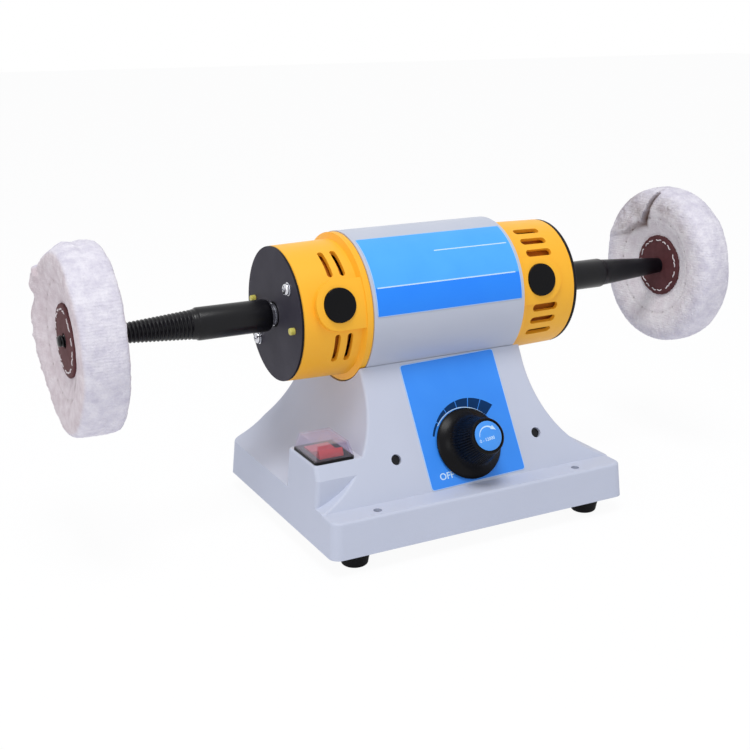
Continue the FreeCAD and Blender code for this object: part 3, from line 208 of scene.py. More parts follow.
def film(points, low, high):
    """Flat plate with the given outline in mm, from one height to another, drawn about +Z."""
    piece = start_face("film", points, low)
    bpy.ops.mesh.extrude_region_move(TRANSFORM_OT_translate={"value": (0, 0, (high - low) * MM)})
    bpy.ops.mesh.select_all(action="SELECT")
    bpy.ops.mesh.normals_make_consistent(inside=False)
    bpy.ops.object.mode_set(mode="OBJECT")
    return piece


def rounded(low_x, low_y, high_x, high_y, radius, turn=0.0, steps=6):
    """Outline of a rounded rectangle, turned about its own middle line."""
    corners = ((high_x - radius, high_y - radius, 0), (low_x + radius, high_y - radius, 90),
               (low_x + radius, low_y + radius, 180), (high_x - radius, low_y + radius, 270))
    points = []
    for x, y, start in corners:
        for step in range(steps + 1):
            a = radians(start + 90 * step / steps)
            px, py = x + radius * cos(a), y + radius * sin(a)
            points.append((px * cos(turn) - py * sin(turn), px * sin(turn) + py * cos(turn)))
    return points


def ring_sector(inner, outer, start, end, steps=14):
    """Outline of part of a ring. Each radius and angle may change from the start to the end."""
    points = []
    for step in range(steps + 1):
        share = step / steps
        a = radians(start + (end - start) * share)
        r = outer[0] + (outer[1] - outer[0]) * share
        points.append((r * cos(a), r * sin(a)))
    for step in range(steps, -1, -1):
        share = step / steps
        a = radians(start + (end - start) * share)
        r = inner[0] + (inner[1] - inner[0]) * share
        points.append((r * cos(a), r * sin(a)))
    return points


def joined(pieces):
    """Several pieces as one."""
    activate(pieces[0])
    for piece in pieces[1:]:
        piece.select_set(True)
    if len(pieces) > 1:
        bpy.ops.object.join()
    return pieces[0]


def words(text, height, x, y, turn, low, thickness):
    """Raised sans-serif words in mm, their left end at x, y, as a mesh drawn about +Z."""
    bpy.ops.object.select_all(action="DESELECT")
    bpy.ops.object.text_add(location=(x * MM, y * MM, low * MM), rotation=(0, 0, turn))
    piece = bpy.context.object
    piece.data.body = text
    piece.data.size = height * 1.4 * MM
    piece.data.extrude = thickness * MM / 2
    piece.data.offset = 0.02 * height * MM
    piece.data.resolution_u = 4
    bpy.ops.object.convert(target="MESH")
    piece = bpy.context.object
    apply_place(piece)
    return piece


blue_film = finish("Satin blue polyester film", "3f97fb", "2f88f4", rough=(0.35, 0.5), grain=0.9, depth=0.004,
                   drift=30, Specular_IOR_Level=0.35)
pale_edge_and_highlight = finish("Pale edge of the film with a painted highlight", "b9dbff", "a4cdfa", rough=(0.4, 0.5), grain=0.5, depth=0.004,
                   drift=10, Specular_IOR_Level=0.3)
navy_ink = finish("Navy screen ink", "07356a", "06305c", rough=(0.45, 0.6), grain=0.4, depth=0.004, drift=6,
                  Specular_IOR_Level=0.1)
white_ink = finish("White screen ink", "cfeaff", "bfe2ff", rough=(0.4, 0.55), grain=0.4, depth=0.004, drift=6,
                   Specular_IOR_Level=0.2)

label_left = LABEL_SHIFT - LABEL_WIDTH / 2
label_right = LABEL_SHIFT + LABEL_WIDTH / 2
# The pale border round the blue field is partly the film's cut edge and partly a painted highlight on that
# edge.
label_edge = rounded(label_left, LABEL_LOW, label_right, LABEL_HIGH, 2.0, LABEL_TURN)
label_base = film(label_edge, 0, FILM_TOP - 0.08)
on_panel(label_base)
settle(label_base, "panel_film_edge", "stand", pale_edge_and_highlight, ["panel_label"])
label_field = rounded(label_left + PALE_EDGE, LABEL_LOW + PALE_EDGE, label_right - PALE_EDGE,
                      LABEL_HIGH - PALE_EDGE, 1.6, LABEL_TURN)
label_face = film(label_field, FILM_TOP - 0.1, FILM_TOP)
on_panel(label_face)
settle(label_face, "panel_film", "stand", blue_film)

scale_marks = [(41.5, 57.6), (58.6, 74.6), (75.8, 94.0), (95.2, 114.6), (115.8, 137.2), (138.6, 160.0)]


def scale_radius(angle):
    """Outer radius of the printed scale, which grows towards full speed."""
    return 23.6 + 6.9 * (max(0, 141 - angle) / 100) ** 1.15


wedges = [film(ring_sector((22.3, 22.3), (scale_radius(a), scale_radius(b)), a, b), FILM_TOP, FILM_TOP + INK)
          for a, b in scale_marks]
scale = joined(wedges)
on_panel(scale)
settle(scale, "printed_scale", "stand", navy_ink)
inner_line = film(ring_sector((21.75, 21.75), (22.2, 22.2), 38.0, 142.0, 40), FILM_TOP, FILM_TOP + INK)
off_mark = words("OFF", 4.0, -23.9, -18.2, LABEL_TURN, FILM_TOP + 0.03, INK)
pale_print = joined([inner_line, off_mark])
on_panel(pale_print)
settle(pale_print, "printed_line_and_off_mark", "stand", white_ink)


# Speed knob
# The knob is black moulded phenolic: a smooth skirt that flares into a finely ribbed grip. It is
# pressed on the potentiometer's shaft and closed by a printed blue cap with a curved arrow.

KNOB_OUTLINE = [(0.0, 0.9), (20.6, 0.9), (21.2, 1.1), (21.4, 1.5), (21.35, 2.0), (20.9, 2.5), (19.6, 3.2),
                (18.0, 4.1), (16.6, 5.1), (15.4, 6.2), (14.6, 7.4)]
RIB_COUNT = 48
RIB_DEPTH = 0.55
GRIP_LOW = 7.6
GRIP_TOP = 24.0
GRIP_FOOT = 14.4
GRIP_HEAD = 10.9
CAP_TOP = 25.05
CAP_INK = 0.07


def spun(name, outline, steps):
    """Solid turned about +Z from (radius, height) points in mm. The first and last may lie on the axis."""
    bpy.ops.object.select_all(action="DESELECT")
    bpy.ops.mesh.primitive_plane_add(size=MM)
    piece = bpy.context.object
    bpy.ops.object.mode_set(mode="EDIT")
    bpy.ops.mesh.select_all(action="SELECT")
    bpy.ops.mesh.merge(type="CENTER")
    here = outline[0]
    bpy.ops.transform.translate(value=(here[0] * MM, 0, here[1] * MM))
    for point in outline[1:]:
        move = ((point[0] - here[0]) * MM, 0, (point[1] - here[1]) * MM)
        bpy.ops.mesh.extrude_region_move(TRANSFORM_OT_translate={"value": move})
        here = point
    bpy.ops.mesh.select_all(action="SELECT")
    bpy.ops.mesh.spin(steps=steps, angle=2 * pi, center=(0, 0, 0), axis=(0, 0, 1))
    bpy.ops.mesh.select_all(action="SELECT")
    bpy.ops.mesh.remove_doubles(threshold=WELD)
    bpy.ops.mesh.normals_make_consistent(inside=False)
    bpy.ops.object.mode_set(mode="OBJECT")
    piece.name = name
    return piece


grip_steps = 14
knob_profile = list(KNOB_OUTLINE)
for step in range(1, grip_steps + 1):
    share = step / grip_steps
    grip_radius = GRIP_FOOT + (GRIP_HEAD - GRIP_FOOT) * share
    knob_profile.append((grip_radius, GRIP_LOW + (GRIP_TOP - GRIP_LOW) * share))
knob_profile += [(10.6, 24.6), (10.2, 24.9), (9.6, 24.9), (9.5, 24.5), (0.0, 24.5)]
knob = spun("knob", knob_profile, RIB_COUNT * 8)
for vertex in knob.data.vertices:
    height = vertex.co.z / MM
    radius = hypot(vertex.co.x, vertex.co.y)
    if 7.5 < height < 24.2 and radius > 10 * MM:
        wave = 0.5 + 0.5 * cos(RIB_COUNT * atan2(vertex.co.y, vertex.co.x))
        groove = RIB_DEPTH * (1 - wave) ** 1.5 * min(1, (24.3 - height) / 1.2, (height - 7.4) / 0.8)
        vertex.co.x *= 1 - groove * MM / radius
        vertex.co.y *= 1 - groove * MM / radius
on_panel(knob)
black_phenolic = finish("Moulded black phenolic", "0b0b0f", "070709", rough=(0.22, 0.32), grain=0.5,
                        depth=0.006, drift=14, Specular_IOR_Level=0.12)
settle(knob, "ribbed_knob", "knob", black_phenolic, ["control_knob"])

cap_face = spun("cap_face", [(0.0, 24.55), (8.7, 24.55), (8.7, 24.95), (8.55, CAP_TOP), (0.0, CAP_TOP)], 96)
on_panel(cap_face)
cap_blue = finish("Blue printed aluminium foil", "4a9df6", "3f93f0", rough=(0.3, 0.45), grain=0.4,
                  depth=0.003, drift=8, Specular_IOR_Level=0.4)
settle(cap_face, "knob_cap_face", "knob", cap_blue, ["knob_cap"])
arrow = film(ring_sector((5.6, 4.9), (5.9, 5.9), 180, 54, 30), CAP_TOP, CAP_TOP + CAP_INK)
barbs = [(r * cos(radians(a)), r * sin(radians(a))) for r, a in ((4.3, 58), (6.5, 24), (6.9, 56))]
arrow_head = film(barbs, CAP_TOP, CAP_TOP + CAP_INK)
speeds = words("0 - 12000", 1.9, -6.4, -3.4, radians(6), CAP_TOP + 0.04, CAP_INK)
cap_print = joined([arrow, arrow_head, speeds])
on_panel(cap_print)
settle(cap_print, "knob_cap_print", "knob", white_ink)


# Screws and parts of the speed board
# Two black-oxide steel screws clamp a glass-epoxy board behind the panel. The board carries a finned
# aluminium heat sink, a power transistor, a ferrite choke and a film capacitor.

black_oxide = finish("Black-oxide steel", "1c1c20", "121215", rough=(0.35, 0.5), grain=0.4, depth=0.006,
                     drift=6, Metallic=0.6)
board_green = finish("Green solder mask on glass epoxy", "1e5a35", "17492b", rough=(0.35, 0.5), grain=0.8,
                     depth=0.01, drift=10)
bare_aluminium = finish("Extruded aluminium", "c9cbce", "b7babe", rough=(0.3, 0.45), grain=0.5, depth=0.006,
                        drift=12, Metallic=1.0)
ferrite = finish("Sintered ferrite", "37363a", "2a292d", rough=(0.5, 0.7), grain=0.4, depth=0.01, drift=6)
film_yellow = finish("Dipped epoxy of a film capacitor", "c8a13a", "b98f2f", rough=(0.35, 0.5), grain=0.6,
                     depth=0.01, drift=8)
dress(black_oxide, "triac", "front_screws")
dress(zinc, "board_nuts", "potentiometer_nut", "gland_nut", "switch_terminals", "motor_screws", "motor_nuts",
      "potentiometer_shaft", "grub_screws")
dress(board_green, "speed_board", "potentiometer")
dress(bare_aluminium, "heat_sink")
dress(ferrite, "choke_coil")
dress(film_yellow, "filter_capacitor")


# Rocker switch
# The switch is a nylon body with a thin bezel, pressed in the box. Its translucent red rocker swings
# on a pin under a clear moulded cover that keeps dust and polish out.

black_nylon = finish("Moulded black nylon", "131215", "0e0d10", rough=(0.4, 0.55), grain=0.4, depth=0.006,
                     drift=8, Specular_IOR_Level=0.15)
red_rocker = finish("Translucent red polycarbonate", "e0281e", "cc1a14", rough=(0.15, 0.25), grain=0.6,
                    depth=0.004, drift=8, Specular_IOR_Level=0.5, Coat_Weight=0.3)


def clear_material():
    """Clear moulded PVC, seen through nearly straight, with a milky haze and gloss on its slanting edges."""
    material = finish("Clear moulded PVC", "e9e6f0", "dedbe6", rough=(0.08, 0.16), grain=2.0, depth=0.01,
                      drift=9, Specular_IOR_Level=0.6)
    tree = material.node_tree
    body = tree.nodes["Principled BSDF"]
    through = add_node(material, "BsdfTransparent", {"Color": colour("f6f3fa")})
    slant = add_node(material, "LayerWeight", {"Blend": 0.35})
    haze = add_node(material, "MapRange", {"To Min": 0.04, "To Max": 0.42}, {0: slant.outputs["Facing"]})
    mix = add_node(material, "MixShader", {}, {0: haze.outputs[0], 1: through.outputs[0], 2: body.outputs[0]})
    tree.links.new(mix.outputs[0], tree.nodes["Material Output"].inputs["Surface"])
    return material


clear_pvc = clear_material()
dress(black_nylon, "switch_housing", "rocker_pin")
dress(red_rocker, "switch_rocker")
dress(clear_pvc, "switch_cover")


# Cord gland
# The gland in the tower's back is moulded black nylon: a hexagon flange, a dome and a threaded barrel
# that a plated nut clamps from inside. It is empty.

dress(black_nylon, "cable_gland")


# Motor tube
# The motor's middle is a drawn steel tube with grey baked enamel. It sits in the tower's saddle and
# is held by two screws from below.

grey_enamel = finish("Grey baked enamel on steel", "c3c8d6", "bcc2d1", rough=(0.35, 0.5), grain=0.8,
                     depth=0.006, drift=30, Specular_IOR_Level=0.4)
dress(grey_enamel, "motor_tube")


# Motor label
# A blue printed film is wrapped on the front of the tube. It has a lighter field with two pale rules
# and a deeper band along its lower edge.

LABEL_RADIUS = 44.75
LABEL_HALF = 49.1
LABEL_BOTTOM = 3.0
LABEL_TOP = 69.0
BAND_TOP = 24.0


def wrapped(name, x0, x1, start, end, low, high, corner=0.01, steps=48):
    """Sheet on the motor's round between two places, two angles and two lifts. Angle 0 faces the user."""
    radius = LABEL_RADIUS + high
    span = radians(end - start) * radius
    piece = start_face(name, rounded(x0, 0, x1, span, corner, 0.0, 5))
    for number in range(1, steps):
        bpy.ops.mesh.select_all(action="SELECT")
        bpy.ops.mesh.bisect(plane_co=(0, span * number / steps * MM, 0), plane_no=(0, 1, 0))
    bpy.ops.mesh.select_all(action="SELECT")
    bpy.ops.mesh.extrude_region_move(TRANSFORM_OT_translate={"value": (0, 0, (high - low) * MM)})
    bpy.ops.object.mode_set(mode="OBJECT")
    for vertex in piece.data.vertices:
        a = radians(start) + vertex.co.y / (radius * MM)
        r = (LABEL_RADIUS + low) * MM + vertex.co.z
        vertex.co = (vertex.co.x, AXIS_Y - r * cos(a), AXIS_Z + r * sin(a))
    mend_normals(piece)
    return piece


light_blue = finish("Light blue gloss film", "58b8ff", "46a6fb", rough=(0.35, 0.5), grain=0.9, depth=0.004,
                    drift=30, Specular_IOR_Level=0.3)
deep_blue = finish("Deep blue gloss film", "2a90ff", "1f84ff", rough=(0.35, 0.5), grain=0.9, depth=0.004,
                   drift=30, Specular_IOR_Level=0.3)
field_half = LABEL_HALF - PALE_EDGE
# The pale border of the motor label is partly the film's cut edge and partly a painted highlight on that
# edge.
film_base = wrapped("film_base", -LABEL_HALF, LABEL_HALF, LABEL_BOTTOM, LABEL_TOP, 0.05, 0.28, 2.0)
settle(film_base, "motor_film_edge", "stand", pale_edge_and_highlight, ["motor_label"])
film_light = wrapped("film_light", -field_half, field_half, BAND_TOP, LABEL_TOP - 0.5, 0.2, 0.36)
settle(film_light, "motor_film_field", "stand", light_blue)
film_deep = wrapped("film_deep", -field_half, field_half, LABEL_BOTTOM + 0.5, BAND_TOP, 0.2, 0.36)
settle(film_deep, "motor_film_band", "stand", deep_blue)
low_rule = wrapped("low_rule", -47.4, 46.0, 23.6, 24.5, 0.3, 0.42)
high_rule = wrapped("high_rule", -3.9, 46.6, 48.5, 49.4, 0.3, 0.42)
rules = joined([low_rule, high_rule])
settle(rules, "motor_film_rules", "stand", white_ink)


# Bells
# Both ends of the motor are die-cast bells in baked yellow enamel, with vents, a boss for each brush
# port and a black plastic cap in it. Slate painted discs close the ends.

BELL_END = 92.3
DISC_END = 93.8
DISC_RADIUS = 39.4
YOKE_TILT = 15.5
TIE_ANGLE = 40.5
TIE_CIRCLE = 30.0
TIE_RADIUS = 2.0
PEG_CIRCLE = 29.0
PEG_ANGLE = -7.0
VENT_PLACE = 75
VENT_TURN = 38
SIDES = ((1, "right"), (-1, "left"))


def on_axis(piece, side):
    """Turns a piece drawn about +Z so that +Z runs outward along the motor's axis."""
    piece.rotation_euler = (0, side * pi / 2, 0)
    piece.location = (0, AXIS_Y, AXIS_Z)
    apply_place(piece)


def beside_axis(piece, side, circle, angle):
    """As on_axis, at a distance from the axis. Angle 0 faces the user, 90 is up."""
    piece.rotation_euler = (0, side * pi / 2, 0)
    a = radians(angle)
    piece.location = (0, AXIS_Y - circle * MM * cos(a), AXIS_Z + circle * MM * sin(a))
    apply_place(piece)


yellow = finish("Yellow baked enamel on cast aluminium", "ffbf33", "ffb628", rough=(0.35, 0.5), grain=1.2,
                depth=0.012, drift=40, Specular_IOR_Level=0.35)
slate = finish("Slate grey painted sheet steel", "3d3b46", "35333e", rough=(0.5, 0.65), grain=0.7, depth=0.01,
               drift=18, Specular_IOR_Level=0.15)
dress(yellow, "left_bell", "right_bell")
dress(slate, "left_end_disc", "right_end_disc")
dress(black_phenolic, "brush_caps", "port_caps")

# Each end gets a thin black ring over the disc's rim, which darkens the disc's side as painted shade, and a
# rubber seal round the shaft.
for side, label in SIDES:
    trim = spun("trim", [(DISC_RADIUS - 0.5, DISC_END - 0.3), (DISC_RADIUS + 0.1, DISC_END - 0.3),
                         (DISC_RADIUS + 0.1, BELL_END + 0.1), (DISC_RADIUS - 0.5, BELL_END + 0.1),
                         (DISC_RADIUS - 0.5, DISC_END - 0.3)], 160)
    on_axis(trim, side)
    settle(trim, label + "_disc_rim_painted_shade", "stand", black_nylon)
    seal = spun("seal", [(5.2, 90.2), (5.2, 92.9), (6.2, 93.1), (7.45, 93.1), (7.45, 90.2), (5.2, 90.2)], 64)
    on_axis(seal, side)
    settle(seal, label + "_shaft_seal", "stand", rubber)

pale_brass = finish("Pale chromated brass", "d8cf6a", "c9be58", rough=(0.3, 0.45), grain=0.4, depth=0.006,
                    drift=5, Specular_IOR_Level=0.4)
tips = []
for turn in (0, 180):
    tip = spun("tip", [(0.0, 93.9), (2.0, 93.9), (2.05, 96.3), (1.7, 96.75), (0.0, 96.8)], 32)
    beside_axis(tip, -1, PEG_CIRCLE, PEG_ANGLE + turn)
    tips.append(tip)
settle(joined(tips), "left_peg_tips", "stand", pale_brass)

# Sheets behind the vents. Their ochre is darker than the bells' yellow as painted shade inside the vents.
guides = []
for side in (-1, 1):
    for way in (-VENT_TURN, VENT_TURN, 180 - VENT_TURN, 180 + VENT_TURN):
        x = side * VENT_PLACE
        middle = YOKE_TILT + way
        guides.append(wrapped("guide", x - 13, x + 13, middle - 24, middle + 24, -10.6, -9.8, 1.0, 16))
guide_ochre_painted_shade = finish("Ochre enamel of the air guides darkened as painted shade", "c97a1c", "b96c14", rough=(0.5, 0.65),
                      grain=0.8, depth=0.01, drift=14, Specular_IOR_Level=0.2)
settle(joined(guides), "air_guides", "stand", guide_ochre_painted_shade)


# Tie bolts
# Two long cross-head screws run through the motor, so that their domed heads show on the left disc.
# They are bright nickel-plated steel, with a washer under each head and a nut at the far end.

nickel = finish("Bright nickel-plated steel", "dcdde2", "c9cad0", rough=(0.12, 0.22), grain=0.4, depth=0.004,
                drift=6, Metallic=1.0)
bolts = []
for turn in (0, 180):
    outline = [(0.0, -97.2), (TIE_RADIUS, -97.2), (TIE_RADIUS, 94.6), (3.2, 94.6), (3.4, 95.0), (3.35, 95.9),
               (2.9, 96.7), (2.0, 97.15), (1.0, 97.3), (0.0, 97.35)]
    bolt = spun("bolt", outline, 48)
    for turned in (0, pi / 2):
        bpy.ops.object.select_all(action="DESELECT")
        bpy.ops.mesh.primitive_cube_add(size=MM, location=(0, 0, 97.2 * MM), rotation=(0, 0, turned))
        cutter = bpy.context.object
        cutter.scale = (4.6, 0.8, 2.0)
        apply_place(cutter)
        modify(bolt, "BOOLEAN", object=cutter, operation="DIFFERENCE", solver="EXACT")
        bpy.data.objects.remove(cutter)
    beside_axis(bolt, -1, TIE_CIRCLE, TIE_ANGLE + turn)
    bolts.append(bolt)
settle(joined(bolts), "cross_head_tie_bolts", "stand", nickel, ["tie_bolts"])
dress(nickel, "tie_nuts", "tie_washers", "motor_shaft")


# Brush gear, stator, armature, fan and bearings
# Inside the casing a laminated steel armature with copper windings turns between two poles. Carbon
# brushes press on a copper commutator, and a moulded fan draws air through the bells' vents.

brass = finish("Drawn brass", "c7a352", "b5903f", rough=(0.3, 0.4), grain=0.5, depth=0.005, drift=8,
               Metallic=1.0)
carbon = finish("Pressed graphite", "2c2b2d", "222123", rough=(0.6, 0.75), grain=0.4, depth=0.01, drift=6)
laminated = finish("Stacked silicon steel sheets", "8a8c90", "7a7c81", rough=(0.4, 0.55), grain=0.5,
                   depth=0.02, drift=10, Metallic=0.9)
copper = finish("Enamelled copper wire", "a8572e", "8f4623", rough=(0.3, 0.45), grain=0.9, depth=0.08,
                drift=6, Metallic=0.7)
steel = finish("Ground bearing steel", "c9cace", "b4b6bb", rough=(0.15, 0.25), grain=0.5, depth=0.003,
               drift=10, Metallic=1.0)
fan_nylon = finish("Moulded grey nylon", "4b4d52", "404247", rough=(0.45, 0.6), grain=0.6, depth=0.008,
                   drift=12)
dress(brass, "brush_holders")
dress(carbon, "carbon_brushes")
dress(steel, "brush_springs", "bearing_outer_rings", "bearing_inner_rings")
dress(laminated, "stator_core", "armature_core")
dress(copper, "field_coils", "armature_windings", "commutator")
dress(fan_nylon, "cooling_fan")


# Spindles
# Each end of the shaft carries a turned and blackened steel spindle: a round sleeve with a grub
# screw, then a long taper. The left taper has a coarse rounded thread that the wheel screws on, and
# a bright spacer shows between sleeve and disc.

SPINDLE_START = 97.5
SLEEVE_RADIUS = 9.5
SLEEVE_END = 142.0
TAPER_START = 8.7
TAPER_TIP = 3.2
SPINDLE_END = 219.0
THREAD_START = 143.5
THREAD_PITCH = 2.25
THREAD_DEPTH = 0.75


def taper_radius(place):
    return TAPER_START - (place - SLEEVE_END) * (TAPER_START - TAPER_TIP) / (SPINDLE_END - SLEEVE_END)


def cut_thread(piece):
    """Draws the taper's points in along a helix, deeper from the sleeve on."""
    for vertex in piece.data.vertices:
        along = vertex.co.z / MM
        radius = hypot(vertex.co.x, vertex.co.y)
        if THREAD_START < along < SPINDLE_END - 1.3 and radius > MM:
            turn = atan2(vertex.co.y, vertex.co.x) / (2 * pi)
            phase = (along / THREAD_PITCH - turn) % 1.0
            ease = min(1.0, (along - THREAD_START) / 2)
            cut = THREAD_DEPTH * ease * (abs(2 * phase - 1) ** 1.3)
            vertex.co.x *= 1 - cut * MM / radius
            vertex.co.y *= 1 - cut * MM / radius


blackened = finish("Blackened turned steel", "0d0d13", "08080c", rough=(0.24, 0.36), grain=0.5, depth=0.008,
                   drift=10, Specular_IOR_Level=0.26)
for side, label in SIDES:
    outline = [(0.0, SPINDLE_START), (7.4, SPINDLE_START), (8.7, 97.9), (9.3, 98.8), (SLEEVE_RADIUS, 100.2),
               (SLEEVE_RADIUS, 120.0), (SLEEVE_RADIUS, 140.6), (9.3, 141.4), (TAPER_START, SLEEVE_END)]
    place = SLEEVE_END
    step = THREAD_PITCH / 8 if side < 0 else 4.0
    while place + step < SPINDLE_END - 1.2:
        place += step
        outline.append((taper_radius(place), place))
    outline.append((taper_radius(SPINDLE_END - 1), SPINDLE_END - 1))
    outline += [(TAPER_TIP - 0.9, SPINDLE_END), (0.0, SPINDLE_END)]
    spindle = spun("spindle", outline, 72)
    if side < 0:
        cut_thread(spindle)
    on_axis(spindle, side)
    mend_normals(spindle)
    node = label + "_spindle"
    settle(spindle, label + "_tapered_spindle", "rotor", blackened, [node], 50)
    spacer_end = SPINDLE_START - 0.05
    spacer = spun("spacer", [(5.05, 93.7), (6.4, 93.7), (6.7, 94.0), (6.7, 95.1), (6.2, 95.3), (6.2, 95.6),
                             (6.7, 95.8), (6.7, spacer_end), (5.05, spacer_end), (5.05, 93.7)], 72)
    on_axis(spacer, side)
    settle(spacer, label + "_shaft_spacer", "rotor", nickel)


# Polishing wheels
# Each wheel is a stack of bleached cotton plies, sewn together in a ring near its middle and trimmed
# round. The free plies swell outside the stitches, so the faces bulge, sag and fold.

WHEEL_PLACES = {1: 199.4, -1: 206.3}
WHEEL_RADIUS = 52.8
HALF_THICKNESS = 12.7
CENTRE_HALF = 5.6
LEFT_LIFT = 2.0
STITCH_RADIUS = 32.6
PIT_TURN = 19
PLY_PITCH = 1.25
WHEEL_STEPS = 360
CREASE = [(88, 52.0), (93, 46.6), (100, 39.0), (109, 34.2), (114, 31.4), (130, 32.9), (146, 35.3),
          (155, 40.4), (164, 49.3), (168, 54.0)]
ROUND_EDGE = [(46.0, 12.3), (48.4, 11.5), (50.2, 10.3), (51.4, 8.7), (52.1, 6.6), (52.6, 3.4)]
SQUARE_EDGE = [(47.2, 12.7), (49.2, 12.5), (50.7, 11.9), (51.7, 10.9), (52.3, 9.2), (52.6, 5.0)]


def smooth_step(value, low, high):
    share = min(1.0, max(0.0, (value - low) / (high - low)))
    return share * share * (3 - 2 * share)


def hill(value, middle, width):
    return exp(-((value - middle) / width) ** 2)


def near_turn(angle, middle, width):
    """A hill over the angle in degrees, from 1 at the middle down to 0, across 360 too."""
    return hill(past_turn(angle, middle), 0, width)


def past_turn(angle, middle):
    """How far an angle lies past another in degrees, from -180 to 180."""
    return (angle - middle + 180) % 360 - 180


def wheel_profile(edge):
    """Outline of half a cross-section in (radius, offset) mm, from the bore round the rim and back."""
    knots = [(4.4, CENTRE_HALF), (20.4, CENTRE_HALF), (24.0, 6.6), (28.0, 8.6), (31.0, 10.2), (35.0, 11.6),
             (39.0, 12.4), (43.0, HALF_THICKNESS)] + edge + [(WHEEL_RADIUS, 0.0)]
    fine = []
    for (r0, x0), (r1, x1) in zip(knots, knots[1:]):
        count = max(1, round(hypot(r1 - r0, x1 - x0) / 0.85))
        fine += [(r0 + (r1 - r0) * n / count, x0 + (x1 - x0) * n / count) for n in range(count)]
    mirrored = [(r, -x) for r, x in fine]
    return fine + [(WHEEL_RADIUS, 0.0)] + mirrored[::-1]


Spot = namedtuple("Spot", "point radius angle offset face flat free edge wave ply crumple")


def read_spot(point, side, seed):
    """Where a point of a wheel lies, in mm and degrees, with the shares and noises that its moves use."""
    offset = point.z - WHEEL_PLACES[side]
    radius = hypot(point.x, point.y)
    angle = degrees(atan2(-side * point.x, -point.y))
    face = 1 if offset > 0 else -1
    wave = noise.noise(ring_point(angle) * 2.6 + Vector((seed + 9.1, radius * 0.05, face * 5.7)))
    ply = noise.noise(point * 0.16 + Vector((0, 0, seed)))
    crumple = noise.noise(point * 0.45 + Vector((seed, 4 * ply, 0)))
    return Spot(point, radius, angle, offset, face, smooth_step(abs(offset), 6.0, 10.5),
                smooth_step(radius, 30, 42), smooth_step(radius, 46, 51), wave, ply, crumple)


def ring_point(angle):
    """Point of the unit circle, so that a noise read there closes on itself."""
    return Vector((cos(radians(angle)), sin(radians(angle)), 0))


def loose_plies(spot, seed):
    """Push and lift of the plies outside the seam: slow swells, soft ridges and their edges on the rim."""
    ring = ring_point(spot.angle)
    swell = noise.noise(ring * 1.1 + Vector((seed, spot.radius * 0.03, spot.face * 3.1)))
    ridge = 1 - 3 * abs(noise.noise(ring * 4.2 + Vector((seed + 4.7, spot.radius * 0.1, spot.face * 2.3))))
    fine = noise.noise(ring * 13 + Vector((seed, spot.radius * 0.3, spot.offset * 0.3)))
    bend = noise.noise(ring * 2.2 + Vector((spot.offset * 0.09, seed, 7.7)))
    nap = noise.noise(ring * 10 + Vector((spot.offset * 0.9, seed, 1.7)))
    height = 0.9 * swell + 0.5 * spot.wave + 0.3 * max(0, ridge) + 0.16 * fine
    push = spot.free * spot.flat * spot.face * height
    lift = 0.5 * swell + 0.45 * bend + 0.16 * (1 - spot.flat) * nap
    lift += 0.07 * sin(spot.offset * 2 * pi / PLY_PITCH + 3 * spot.wave)
    return push, spot.edge * lift


def crumples(spot, side, seed):
    """Push and lift of small dents and veins, weaker on the handled face of the left wheel."""
    field = noise.noise(spot.point * 0.2 + Vector((3 * spot.ply, seed, 2 * spot.ply)))
    vein = 1 - min(1.0, 5 * abs(field))
    depth = 0.26 * spot.crumple - 0.4 * vein * (0.5 + spot.ply)
    depth *= 0.5 if side < 0 < spot.face and spot.radius < 49 else 0.9
    rim = smooth_step(spot.radius, 49.0, 51.8)
    return spot.free * spot.flat * spot.face * depth * (1 - rim), spot.edge * rim * depth


def seam(spot, seed):
    """Push and darkening of the ring of stitches and its needle pits. The darkening is painted shade in the
    pits and along the sunk seam.
    """
    stitch = hill(spot.radius, STITCH_RADIUS, 0.9) * spot.flat
    pit = 0.0
    if abs(spot.radius - STITCH_RADIUS) < 2:
        turn = (spot.angle + 7 * seed) % PIT_TURN - PIT_TURN / 2
        pit = hill(hypot(radians(turn) * spot.radius, spot.radius - STITCH_RADIUS), 0, 0.5)
    return -spot.face * (0.4 * stitch + 0.5 * pit), 0.6 * pit + 0.1 * stitch


def left_outer_face(spot):
    """Push, lift and dirt: a bulge with scallops behind, a lump and a trimmed corner above, small stains."""
    radius = spot.radius
    push = 3.0 * near_turn(spot.angle, 185, 34) * smooth_step(radius, 34, 44) * spot.flat
    scallop = sin(radians(spot.angle) * 31 + 5 * spot.wave) * near_turn(spot.angle, 195, 40)
    push += 0.5 * (0.6 + 1.5 * spot.crumple) * scallop * smooth_step(radius, 40, 48) * spot.flat
    push += LEFT_LIFT * (1 - smooth_step(radius, 20.4, 34))
    lump = smooth_step(past_turn(spot.angle, 136), 0, 4)
    lump *= 1 - smooth_step(past_turn(spot.angle, 150), 0, 10)
    push += 2.6 * lump * smooth_step(radius, 41, 47) * spot.flat
    push -= 1.2 * near_turn(spot.angle, 163, 5) * smooth_step(radius, 40, 46) * spot.flat
    trim = near_turn(spot.angle, 108, 24) * smooth_step(spot.offset, 3, 11) * smooth_step(radius, 38, 50)
    darkening = 0.1 * near_turn(spot.angle, 120, 26) * hill(radius, 44, 6)
    darkening += 0.45 * near_turn(spot.angle, -52, 4) * hill(radius, 26, 3.5)
    return push, 1.5 * lump * spot.edge - 3.4 * trim, darkening


def crease_radius(angle):
    """Radius of the long fold on the right wheel's inner face at an angle, or None beside it."""
    for (a0, r0), (a1, r1) in zip(CREASE, CREASE[1:]):
        if a0 <= angle <= a1:
            return r0 + (r1 - r0) * (angle - a0) / (a1 - a0)


